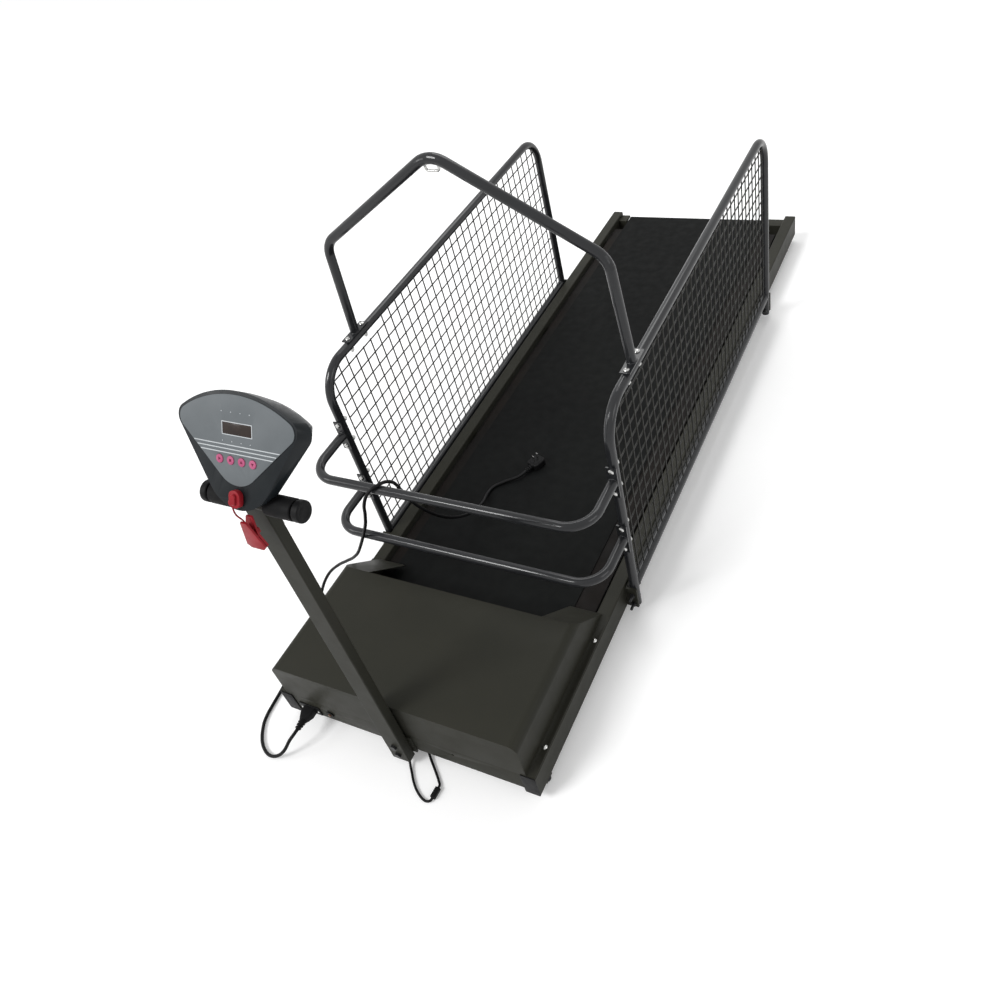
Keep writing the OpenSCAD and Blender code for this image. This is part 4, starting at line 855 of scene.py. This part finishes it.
@dataclass
class Lead:
    """A free cord: its diameter, and listed points from the rails' front end, in millimetres."""

    name: str
    node: str
    diameter: float
    far_end: str
    route: list[Point]
    stiffness: str = "limp"
    lay: str = "loose"
    finish: Finishes = Finishes.CORD_PVC
    body: Body = Body.FRAME
    pieces: list[str] = field(default_factory=list)
    steps: int = 8
    roundness: int = 4

    def line(self) -> list[Vector]:
        """Smooth the route.

        Returns:
            Points of the cord's centre line, close together.
        """
        p = [in_rails(q) for q in self.route]
        ends = [2 * p[0] - p[1], *p, 2 * p[-1] - p[-2]]
        made = []
        for a, b, c, d in zip(ends, ends[1:], ends[2:], ends[3:]):
            for i in range(self.steps):
                t = i / self.steps
                made.append(0.5 * (2 * b + (c - a) * t + (2 * a - 5 * b + 4 * c - d) * t * t
                                   + (3 * b - a - 3 * c + d) * t ** 3))
        return [*made, p[-1]]

    def build(self) -> None:
        points = self.line()
        curve = bpy.data.curves.new(self.name, "CURVE")
        curve.dimensions = "3D"
        curve.bevel_depth = self.diameter / 2 * MM
        curve.bevel_resolution = self.roundness
        curve.use_fill_caps = True
        spline = curve.splines.new("POLY")
        spline.points.add(len(points) - 1)
        for target, point in zip(spline.points, points):
            target.co = (*point, 1.0)
        spline.use_smooth = True
        made = link_object(self.name, curve)
        WARDROBE.dress(made, self.finish)
        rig.ride(made, self.body.value)
        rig.replaces(made, self.node)
        length = sum((b - a).length for a, b in zip(points, points[1:]))
        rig.cord(made, exit=points[0], length=length, diameter=self.diameter * MM, far_end=self.far_end,
                stiffness=self.stiffness, lay=self.lay, with_pieces=self.pieces)
        LOG.info("cord %s: %.3f m", self.name, length)


MAINS_ROUTE: list[Point] = [
    (-223, -52, 47), (-224.5, -63.5, 45.5), (-229, -76, 40), (-237.5, -89.5, 25), (-250, -99, 13),
    (-267, -104.5, 6), (-286, -102, 4), (-308, -88, 4), (-328, -62, 4), (-341, -28, 4), (-350, 50, 4),
    (-368, 140, 4), (-392, 225, 4.5), (-406, 272, 10), (-408, 302, 26), (-390, 318, 52), (-354, 322, 84),
    (-318, 319, 112), (-284, 315, 140), (-252, 311, 178), (-196, 304, 270), (-174.5, 300.5, 317),
    (-161, 296, 350.5), (-150, 299.5, 374.5), (-140.5, 309.5, 386.5), (-130, 321.5, 390),
    (-122.5, 336.5, 387), (-115.5, 349.5, 374), (-111, 357, 346.5), (-105, 369, 300.5), (-98, 397, 245),
    (-95, 432, 196), (-98, 478, 149), (-101, 530, 112), (-109, 580, 88), (-119, 620, 76), (-114, 646, 75),
    (-91, 669, 75.6), (-68, 686, 78.4), (-58, 706, 79)]

CABLE_OUT: list[Point] = [
    (8, -8.4, 34), (8, -9, 26), (9, -11.5, 17), (12, -17, 9.5), (18, -26, 4.5), (27, -37, 3), (38, -50, 3),
    (52, -63, 3), (68, -73, 3), (81, -77, 3.5), (89, -74, 4.5), (91, -68, 5)]

CABLE_BACK: list[Point] = [
    (92, -46, 5), (91, -40, 4), (86, -34, 3), (76, -24, 3), (64, -13, 3), (52, -2, 3.5), (42, 8, 6),
    (35, 18, 13), (31, 28, 24), (30, 34, 34), (30, 36, 44)]

KEY_CORD: list[Point] = [
    (-9.5, -41.2, 738), (-9.2, -43.4, 734.2), (-8.2, -45.6, 730.6), (-6.2, -47.6, 727), (-3.2, -49, 723.8),
    (0.4, -49.6, 721.4), (3.6, -49.6, 718.6), (5, -49.3, 714.6), (5, -49, 710)]


@dataclass
class PlugEnds:
    """The mains lead's connector and plug, in millimetres.

    A shoulder is a place ahead of the connector's back, cuts from its width and height, and a corner radius.
    A ring of a rib is a place along that rib's stretch of the relief and the share of the inset there.
    """

    cord: float = 7.0
    inlet: Point = (-223.0, 0.0, 47.0)
    connector: Pair = (26.0, 18.0)
    connector_tip: float = 16.7
    connector_corner: float = 2.0
    connector_back: float = -28.0
    shoulders: tuple[Section, ...] = (
        (12.0, 0.0, 0.0, 2.5), (9.0, 1.5, 0.3, 4.0), (4.0, 4.5, 0.4, 6.0), (0.0, 7.0, 0.5, 7.5))
    connector_relief: float = 24.0
    connector_relief_wall: float = 4.5
    ribs: int = 4
    rib_inset: float = 4.0
    rib_rings: tuple[Pair, ...] = ((0.05, 0.0), (0.55, 0.0), (0.62, 1.0), (0.98, 1.0))
    plug_at: Point = (-58.0, 706.0, 79.0)
    plug_turn: float = -20.0
    plug: Point = (32.0, 34.0, 15.4)
    plug_corner: float = 7.0
    plug_edge: float = 1.6
    plug_relief: float = 20.0
    plug_relief_sink: float = 1.0
    plug_relief_cut: float = 2.0
    plug_relief_wall: float = 4.2
    boss_inset: float = 9.0
    boss_corner: float = 5.0
    boss_edge: float = 0.4
    boss_up: float = 0.9
    corner_steps: int = 8
    blade: Point = (6.3, 1.6, 17.0)
    blade_corner: float = 0.5
    blade_corner_steps: int = 3
    blade_edge: float = 0.7
    blade_pitch: float = 12.7

    def _relief(self, start: float, length: float, wide: float, narrow: float) -> list[Section]:
        """Sections of a ribbed strain relief that narrows to the cord.

        Args:
            start: Where it starts along the cord.
            length: Signed length along the cord.
            wide: Diameter at the housing.
            narrow: Diameter at the cord.

        Returns:
            Place along the cord, width, height and corner radius of each ring.
        """
        sections = []
        for i in range(self.ribs):
            for at, inset in self.rib_rings:
                share = (i + at) / self.ribs
                across = wide + share * (narrow - wide) - inset * self.rib_inset
                sections.append((start + share * length, across, across, across / 2))
        return sections

    @staticmethod
    def _skin(build: bmesh.types.BMesh, place: Matrix, sections: Sequence[Section]) -> None:
        """Add a form of sections, such as a relief's, along the Y axis of its place."""
        MeshShop.loft(build, ([place @ (MM * Vector((x, y, z))) for x, z in rounded_ring(*size)]
                              for y, *size in sections))

    def connector_piece(self) -> bpy.types.Object:
        """Build the connector in the inlet with its relief.

        Returns:
            The connector.
        """
        width, height = self.connector
        back = self.connector_back
        sections = [(self.connector_tip, width, height, self.connector_corner)]
        sections += [(back + ahead, width - narrower, height - lower, corner)
                     for ahead, narrower, lower, corner in self.shoulders]
        back_height = sections[-1][2]
        sections += self._relief(back, -self.connector_relief, back_height,
                                 self.cord + self.connector_relief_wall)
        build = bmesh.new()
        self._skin(build, Matrix.Translation(in_rails(self.inlet)), sections)
        made = MeshShop.piece("connector_body", build, Finishes.BLACK_PLASTIC, smooth_angle=35.0)
        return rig.replaces(made, "mains_connector")

    def plug_pieces(self) -> list[bpy.types.Object]:
        """Build the plug's body with its relief, and its two blades.

        Returns:
            The body and the blades.
        """
        turn = Matrix.Rotation(math.radians(self.plug_turn), 4, "Z")
        place = Matrix.Translation(in_rails(self.plug_at)) @ turn
        width, length, height = self.plug
        top = height / 2
        centre = place @ Matrix.Translation((0, (self.plug_relief + length / 2) * MM, 0))
        build = bmesh.new()
        relief = self.plug_relief + self.plug_relief_sink
        self._skin(build, place, self._relief(relief, -relief, height - self.plug_relief_cut,
                                              self.cord + self.plug_relief_wall))
        outline = rounded_ring(width, length, self.plug_corner, self.corner_steps)
        MeshShop.plate(build, outline, centre, -top, top, self.plug_edge)
        boss = rounded_ring(width - self.boss_inset, length - self.boss_inset, self.boss_corner,
                            self.corner_steps)
        MeshShop.plate(build, boss, centre, top - self.boss_edge, top + self.boss_up, self.boss_edge)
        body = MeshShop.piece("plug_body", build, Finishes.BLACK_PLASTIC, smooth_angle=35.0)
        build = bmesh.new()
        blade_width, blade_wall, blade_length = self.blade
        blade = rounded_ring(blade_width, blade_wall, self.blade_corner, self.blade_corner_steps)
        for side in (-1, 1):
            seat = centre @ Matrix.Translation((0, side * self.blade_pitch / 2 * MM, 0))
            MeshShop.plate(build, blade, seat, top, top + blade_length, self.blade_edge)
        blades = MeshShop.piece("plug_blades", build, Finishes.BRIGHT_SCREW, smooth_angle=30.0)
        for made in (body, blades):
            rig.replaces(made, "mains_plug")
        return [body, blades]


@dataclass
class Leads:
    """All cords with the pieces on them, in millimetres."""

    cable: float = 5.0
    key_cord: float = 2.4

    def build(self) -> None:
        """Build the mains lead, the console cable and the key's cord."""
        ends = PlugEnds()
        on_mains = [ends.connector_piece(), *ends.plug_pieces()]
        leads = (
            Lead("mains_lead", "mains_cord", ends.cord, "plug", MAINS_ROUTE, "medium",
                 pieces=[piece.name for piece in on_mains]),
            Lead("console_lead_out", "console_cable", self.cable, "connector", CABLE_OUT,
                 pieces=["cable_connector"]),
            Lead("console_lead_back", "console_cable", self.cable, "object", CABLE_BACK),
            Lead("key_string", "key_cord", self.key_cord, "object", KEY_CORD, lay="hanging",
                 finish=Finishes.RED_CORD, body=Body.KEY, pieces=["key_clip", "clip_jaw"]))
        for lead in leads:
            lead.build()


# Nets


@dataclass
class GuardNet:
    """The welded wire net inside one guard frame, in metres, with openings at bolts in millimetres."""

    side: str
    gaps_along: int = 36
    gaps_up: int = 14
    wire: float = 0.003
    wire_sides: int = 10
    layer_share: float = 0.46
    tube: float = 0.019
    low_rail: float = 0.072
    corner: float = 0.070
    into_tube: float = 0.003
    hoop_bolts: Pair = (560.0, 670.0)
    bar_bolts: Pair = (316.0, 436.0)

    def build(self) -> None:
        """Build all wires of the net."""
        lo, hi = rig.box(f"{self.side}_guard_frame")
        half = self.tube / 2
        x = (lo.x + hi.x) / 2
        y0, y1, z0, z1 = lo.y + half, hi.y - half, self.low_rail, hi.z - half
        reach = half - self.into_tube
        out = math.copysign(self.wire * self.layer_share, x)
        step, rise = (y1 - y0) / self.gaps_along, (z1 - z0) / self.gaps_up
        near, far = (in_rails((0, at, 0)).y for at in self.hoop_bolts)
        low, high = (at * MM for at in self.bar_bolts)
        build = bmesh.new()
        for i in range(1, self.gaps_along):
            y = y0 + step * i
            top = z1 - rise if near < y < far else z1 - self._drop(min(y - y0, y1 - y)) - reach
            self._wire(build, Vector((x + out, y, z0 + reach)), Vector((x + out, y, top)))
        for k in range(1, self.gaps_up):
            z = z0 + rise * k
            inset = self._drop(z1 - z) + reach
            start = step if low < z < high else inset
            self._wire(build, Vector((x - out, y0 + start, z)), Vector((x - out, y1 - inset, z)))
        made = MeshShop.piece(f"{self.side}_net", build, Finishes.WIRE_MESH, smooth_angle=60.0)
        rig.replaces(made, f"{self.side}_guard_mesh")

    def _drop(self, near: float) -> float:
        """How far the frame's round corner takes a wire's end in.

        Args:
            near: Distance from the corner's other side.

        Returns:
            The distance from the straight rail's centre line.
        """
        if near >= self.corner:
            return 0.0
        return self.corner - math.sqrt(self.corner ** 2 - (self.corner - near) ** 2)

    def _wire(self, build: bmesh.types.BMesh, a: Vector, b: Vector) -> None:
        """Add one straight wire."""
        MeshShop.sweep(build, [a, b], self.wire / 2, self.wire_sides)


# Console


BUTTONS: tuple[tuple[Glyph, Body], ...] = (
    (Glyph.PLAY, Body.START), (Glyph.HALT, Body.STOP), (Glyph.UP, Body.FASTER), (Glyph.DOWN, Body.SLOWER))

# Corners of each sign, as shares of half its size
SIGNS: dict[Glyph, tuple[Pair, ...]] = {
    Glyph.PLAY: ((-0.7, -1), (1, 0), (-0.7, 1)),
    Glyph.HALT: ((-0.8, -0.8), (0.8, -0.8), (0.8, 0.8), (-0.8, 0.8)),
    Glyph.UP: ((-1, -0.7), (1, -0.7), (0, 1)),
    Glyph.DOWN: ((-1, 0.7), (0, -1), (1, 0.7)),
}


@dataclass
class ConsoleFace:
    """Printed marks, lamps, button signs and the key's grip, in millimetres in the face's own frame.

    A stripe is its height on the face and its half length. The window is its middle, width and height.
    """

    face: Pair = (-25.0, 760.0)
    lean: float = 32.0
    film: float = 1.2
    print_up: float = 0.18
    stripes: tuple[Pair, ...] = ((52.4, 75.4), (47.0, 69.5), (41.6, 63.6))
    stripe_w: float = 1.3
    side_slope: float = 0.9
    window: tuple[float, float, float, float] = (3.0, 75.0, 51.0, 16.0)
    window_edge: float = 1.1
    lamps: tuple[float, ...] = (-23.0, -6.5, 10.0, 26.0)
    lamp_rows: Pair = (97.0, 57.5)
    lamp_profile: tuple[Pair, ...] = ((0.0, 0.75), (0.25, 0.75), (0.5, 0.5), (0.56, 0.05))
    lamp_steps: int = 14
    button_y: float = 32.0
    button_pitch: float = 19.5
    button_top: float = 2.4
    sign: float = 4.6
    key_y: float = -19.0
    key_front: float = 8.4
    grip: Point = (8.0, 16.0, 3.2)
    grip_sink: float = 0.4
    grip_edge: float = 1.2
    grip_steps: int = 6

    def place(self, x: float, y: float, z: float) -> Matrix:
        """Matrix of a point on the face, with Z out of it.

        Args:
            x: Place across the face.
            y: Place up the face.
            z: Height above the face.

        Returns:
            The matrix in the row frame.
        """
        origin = Matrix.Translation(in_rails((0.0, *self.face)))
        tilt = Matrix.Rotation(math.radians(90 - self.lean), 4, "X")
        return origin @ tilt @ Matrix.Translation(MM * Vector((x, y, z)))

    def build(self) -> None:
        """Build every mark of the face."""
        self._stripes()
        self._window_frame()
        self._lamps()
        for i, (glyph, body) in enumerate(BUTTONS):
            self._sign(i, glyph, body)
        self._grip()

    def _print(self, build: bmesh.types.BMesh, outline: Sequence[Pair], place: Matrix) -> None:
        """Add one printed patch."""
        MeshShop.plate(build, outline, place, 0.0, self.print_up)

    def _stripes(self) -> None:
        """Build the three white stripes across the film."""
        build = bmesh.new()
        t = self.stripe_w / 2
        for y, half in self.stripes:
            up = half + self.side_slope * t
            down = half - self.side_slope * t
            self._print(build, [(-down, -t), (down, -t), (up, t), (-up, t)], self.place(0, y, self.film))
        MeshShop.piece("console_stripes", build, Finishes.PRINT_WHITE)

    def _window_frame(self) -> None:
        """Build the light line round the display window."""
        x, y, w, h = self.window
        t = self.window_edge
        build = bmesh.new()
        for sx, sy, a, b in ((0, 1, w + 2 * t, t), (0, -1, w + 2 * t, t), (1, 0, t, h), (-1, 0, t, h)):
            outline = [(p * a / 2, q * b / 2) for p, q in ((-1, -1), (1, -1), (1, 1), (-1, 1))]
            self._print(build, outline, self.place(x + sx * (w + t) / 2, y + sy * (h + t) / 2, self.film))
        MeshShop.piece("display_frame", build, Finishes.PRINT_WHITE)

    def _lamps(self) -> None:
        """Build the two rows of small lamps."""
        build = bmesh.new()
        for y in self.lamp_rows:
            for x in self.lamps:
                MeshShop.lathe(build, self.lamp_profile, self.place(x, y, self.film), steps=self.lamp_steps)
        MeshShop.piece("console_lamps", build, Finishes.PRINT_WHITE)

    def _sign(self, index: int, glyph: Glyph, body: Body) -> None:
        """Build the sign on one button.

        Args:
            index: The button's place in the row.
            glyph: The sign.
            body: The button's body.
        """
        outline = [(x * self.sign / 2, y * self.sign / 2) for x, y in SIGNS[glyph]]
        across = (index - (len(BUTTONS) - 1) / 2) * self.button_pitch
        build = bmesh.new()
        self._print(build, outline, self.place(across, self.button_y, self.button_top))
        MeshShop.piece(f"sign_{glyph.value}", build, Finishes.PRINT_DARK, body)

    def _grip(self) -> None:
        """Build the finger grip on the safety key."""
        width, length, height = self.grip
        build = bmesh.new()
        outline = rounded_ring(width, length, width / 2, self.grip_steps)
        place = self.place(0, self.key_y, self.key_front)
        MeshShop.plate(build, outline, place, -self.grip_sink, height, self.grip_edge)
        MeshShop.piece("key_grip", build, Finishes.RED_PLASTIC, Body.KEY)


@dataclass
class HandleGrips:
    """Sleeves and end caps of the handle, in millimetres. The dish is depths and radii in a cap's end."""

    centre: Point = (4.0, -18.0, 723.0)
    length: float = 176.0
    outer: float = 32.0
    bore: float = 22.04
    gap_half: float = 26.0
    cap: float = 12.0
    cap_gap: float = 2.0
    cap_overlap: float = 2.0
    dish: tuple[Pair, ...] = ((0.0, 9.0), (0.8, 8.0), (0.8, 0.5))
    lip: float = 2.5
    lip_steps: int = 5

    def build(self) -> None:
        """Build both sleeves and both caps."""
        end, inner = self.length / 2, self.bore / 2
        cap_start = end - self.cap
        sleeve_end = cap_start - self.cap_gap
        sleeve = [(self.gap_half, inner), *self._outside(self.gap_half, sleeve_end), (sleeve_end, inner)]
        cap = [(cap_start, inner - self.cap_overlap), *self._outside(cap_start, end),
               *((end - depth, radius) for depth, radius in self.dish)]
        for name, side in (("left", -1), ("right", 1)):
            place = Matrix.Translation(in_rails(self.centre)) @ Matrix.Rotation(side * math.pi / 2, 4, "Y")
            self._turned(f"{name}_grip_sleeve", sleeve, place, Finishes.BLACK_RUBBER, True)
            self._turned(f"{name}_grip_cap", cap, place, Finishes.BLACK_PLASTIC, False)

    def _outside(self, start: float, end: float) -> list[Pair]:
        """Profile of an outer surface with round lips.

        Args:
            start: Where it starts along the handle.
            end: Where it ends.

        Returns:
            Places along the handle and radii.
        """
        turns = [math.radians(90 * i / self.lip_steps) for i in range(self.lip_steps + 1)]
        lip = [(self.lip * (1 - math.cos(t)), self.outer / 2 - self.lip * (1 - math.sin(t))) for t in turns]
        return [(start + inset, r) for inset, r in lip] + [(end - inset, r) for inset, r in lip[::-1]]

    def _turned(self, name: str, profile: Sequence[Pair], place: Matrix, finish: Finishes,
                closed: bool) -> None:
        """Build one turned piece of the handle.

        Args:
            name: The piece's name.
            profile: Places along the handle and radii.
            place: The handle's middle, with Z out to the piece's side.
            finish: The piece's finish.
            closed: The profile is a loop.
        """
        build = bmesh.new()
        MeshShop.lathe(build, profile, place, closed)
        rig.replaces(MeshShop.piece(name, build, finish, smooth_angle=50.0), "handle_grips")


# Welds


@dataclass
class Welds:
    """Weld beads where tubes meet plates and posts, in millimetres."""

    guard_x: float = 302.5
    tube: float = 19.0
    bead: float = 2.2
    bead_sides: int = 6
    bar_end: float = 445.2
    bars: Pair = (376.0, 225.0)
    hoop: Pair = (594.0, 534.8)
    low_rail: float = 72.0
    posts: Pair = (458.0, 1493.0)
    ripples: int = 22
    ripple_steps: int = 3
    ripple_height: float = 0.25

    def build(self) -> None:
        """Build every bead as part of one piece."""
        build = bmesh.new()
        for side in (-1, 1):
            x = side * self.guard_x
            for z in self.bars:
                self._ring(build, (x, self.bar_end, z), Vector((0, 1, 0)))
            self._ring(build, (x, *self.hoop), Vector((0, 0, 1)))
            for y, way in zip(self.posts, (1, -1)):
                self._ring(build, (x, y + way * self.tube / 2, self.low_rail), Vector((0, 1, 0)))
        MeshShop.piece("weld_beads", build, Finishes.TUBE_PAINT, smooth_angle=60.0)

    def _ring(self, build: bmesh.types.BMesh, at: Point, axis: Vector) -> None:
        """Add one rippled ring of weld.

        Args:
            build: The mesh to add to.
            at: Centre of the ring.
            axis: Axis of the tube.
        """
        across = axis.orthogonal().normalized()
        other = axis.cross(across)
        steps = self.ripple_steps * self.ripples
        path = []
        for i in range(steps):
            turn = 2 * math.pi * i / steps
            r = (self.tube / 2 + self.ripple_height * math.cos(self.ripples * turn)) * MM
            path.append(in_rails(at) + r * (math.cos(turn) * across + math.sin(turn) * other))
        MeshShop.sweep(build, path, self.bead / 2 * MM, self.bead_sides, True)


# Solids of the frame


@dataclass
class FrameDress:
    """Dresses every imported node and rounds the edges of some, in millimetres and degrees."""

    edges: dict[str, float] = field(default_factory=lambda: {
        "motor_hood": 0.5, "console_front": 1.2, "console_back": 1.5, "console_overlay": 0.3,
        "display_window": 0.3, "safety_key": 1.6, "key_clip": 0.6, "clip_jaw": 0.6, "mains_inlet": 0.6,
        "breaker_body": 0.5, "breaker_button": 0.8, "cable_connector": 1.2, "rail_end_caps": 0.6,
        "left_wheel": 1.5, "right_wheel": 1.5, "rear_feet": 1.2, "front_crossbar": 0.7, "button_start": 0.5,
        "button_stop": 0.5, "button_slower": 0.5, "button_faster": 0.5, "roller_brackets": 0.5})
    edge_steps: int = 3
    smooth_angle: float = 35.0
    flat_angle: float = 0.2
    join_within: float = 0.005

    def build(self) -> None:
        """Dress every node."""
        slots = {row["node"]: row["material_slot"] for row in frame["record"]["subparts"]}
        for name, node in frame["nodes"].items():
            WARDROBE.dress(node, WARDROBE.for_slot(slots[name]))
            shade(node.data, self.smooth_angle)
            if name in self.edges:
                self._soften(node, self.edges[name])
        LOG.info("dressed %d nodes", len(frame["nodes"]))

    def _soften(self, node: bpy.types.Object, width: float) -> None:
        """Round a node's sharp edges by modifiers that first join its flat faces.

        Args:
            node: The node.
            width: Width of the rounding.
        """
        weld = node.modifiers.new("join", "WELD")
        weld.merge_threshold = self.join_within * MM
        flats = node.modifiers.new("flats", "DECIMATE")
        flats.decimate_type = "DISSOLVE"
        flats.angle_limit = math.radians(self.flat_angle)
        bevel = node.modifiers.new("soften", "BEVEL")
        bevel.width = width * MM
        bevel.segments = self.edge_steps
        bevel.limit_method = "ANGLE"
        bevel.angle_limit = math.radians(self.smooth_angle)
        bevel.harden_normals = True


# Studio


@dataclass(frozen=True)
class Softbox:
    """A square lamp that looks at a point, with its side in metres and its power in watts."""

    name: str
    at: Point
    aim: Point
    size: float
    power: float

    def build(self) -> None:
        """Make the lamp."""
        data = bpy.data.lights.new(self.name, "AREA")
        data.energy = self.power
        data.size = self.size
        made = link_object(self.name, data)
        made.location = self.at
        made.rotation_euler = (Vector(self.aim) - Vector(self.at)).to_track_quat("-Z", "Y").to_euler()


@dataclass
class Studio:
    """Floor, light and the photograph's camera, in metres and degrees."""

    camera_at: Point = (0.83456, -1.48579, 1.47360)
    camera_turn: Point = (45.3668, 12.4329, 26.0962)
    lens: float = 31.677
    sensor: float = 36.0
    floor_half: float = 14.0
    floor_drop: float = 0.0004
    floor_tone: float = 0.9
    floor_rough: float = 0.9
    floor_glow: float = 0.2
    world_light: float = 0.5
    sun_turn: Point = (40.0, -18.0, -14.0)
    sun_light: float = 1.7
    sun_soft: float = 20.0
    boxes: tuple[Softbox, ...] = (
        Softbox("top_box", (-0.3, 1.6, 2.7), (0.0, 0.0, 0.3), 1.6, 26.0),
        Softbox("side_box", (2.6, -0.6, 1.5), (0.0, 0.0, 0.3), 1.2, 9.0),
        Softbox("left_box", (-2.2, -2.0, 1.7), (-0.1, -0.5, 0.3), 0.9, 12.0))

    def camera(self) -> None:
        """Make the photograph's camera."""
        data = bpy.data.cameras.new("photo_camera")
        data.lens = self.lens
        data.sensor_width = self.sensor
        made = link_object("photo_camera", data)
        made.location = self.camera_at
        made.rotation_euler = [math.radians(a) for a in self.camera_turn]
        bpy.context.scene.camera = made

    def build(self) -> None:
        """Make the floor, the world and the lamps."""
        bpy.context.scene.view_settings.view_transform = "Standard"
        self._floor()
        self._world()
        self._sun()
        for box in self.boxes:
            box.build()

    def _seen(self, graph: Graph) -> bpy.types.NodeSocket:
        """Share of rays that see the plain background.

        Args:
            graph: The graph to add to.

        Returns:
            1 for camera, glossy and transmission rays.
        """
        path = graph.add("ShaderNodeLightPath")
        seen = graph.math("MAXIMUM", path.outputs["Is Camera Ray"], path.outputs["Is Glossy Ray"])
        return graph.math("MAXIMUM", seen, path.outputs["Is Transmission Ray"])

    def _floor(self) -> None:
        """Make the pale floor, which keeps the shadow."""
        h = self.floor_half
        corners = [(x, y, -self.floor_drop) for x, y in ((-h, -h), (h, -h), (h, h), (-h, h))]
        mesh = bpy.data.meshes.new("floor")
        mesh.from_pydata(corners, [], [(0, 1, 2, 3)])
        material = bpy.data.materials.new("pale_floor")
        material.use_nodes = True
        graph = Graph(material.node_tree)
        graph.feed(material.node_tree.nodes["Principled BSDF"], {
            "Base Color": (self.floor_tone, self.floor_tone, self.floor_tone, 1.0),
            "Roughness": self.floor_rough, "Specular IOR Level": 0.0, "Emission Color": linear("ffffff"),
            "Emission Strength": graph.math("MULTIPLY", self._seen(graph), self.floor_glow)})
        mesh.materials.append(material)
        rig.stage(link_object("floor", mesh))

    def _world(self) -> None:
        """Make the world: soft light, and white where it is seen."""
        world = bpy.data.worlds.new("studio")
        bpy.context.scene.world = world
        world.use_nodes = True
        graph = Graph(world.node_tree)
        strength = graph.remap(self._seen(graph), 0.0, 1.0, self.world_light, 1.0)
        graph.feed(world.node_tree.nodes["Background"], {"Color": linear("ffffff"), "Strength": strength})

    def _sun(self) -> None:
        """Make the soft sun."""
        data = bpy.data.lights.new("key_sun", "SUN")
        data.energy = self.sun_light
        data.angle = math.radians(self.sun_soft)
        link_object("key_sun", data).rotation_euler = [math.radians(a) for a in self.sun_turn]


def write_sizes() -> None:
    """Write the boxes of the CAD model and of the dressed model."""
    boxes = {"cad": CAD_BOX, "visual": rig.bounds()}
    with open(SIZE_FILE, "w", encoding="utf-8") as target:
        json.dump({name: [list(corner) for corner in box] for name, box in boxes.items()}, target)


def main() -> None:
    """Build the scene in order: camera, cords, dress, nets, console, handle, welds and studio."""
    logging.basicConfig(level=logging.INFO, format="%(name)s: %(message)s")
    studio = Studio()
    studio.camera()
    Leads().build()
    FrameDress().build()
    for side in ("left", "right"):
        GuardNet(side).build()
    ConsoleFace().build()
    HandleGrips().build()
    Welds().build()
    studio.build()
    write_sizes()


if __name__ == "__main__":
    main()
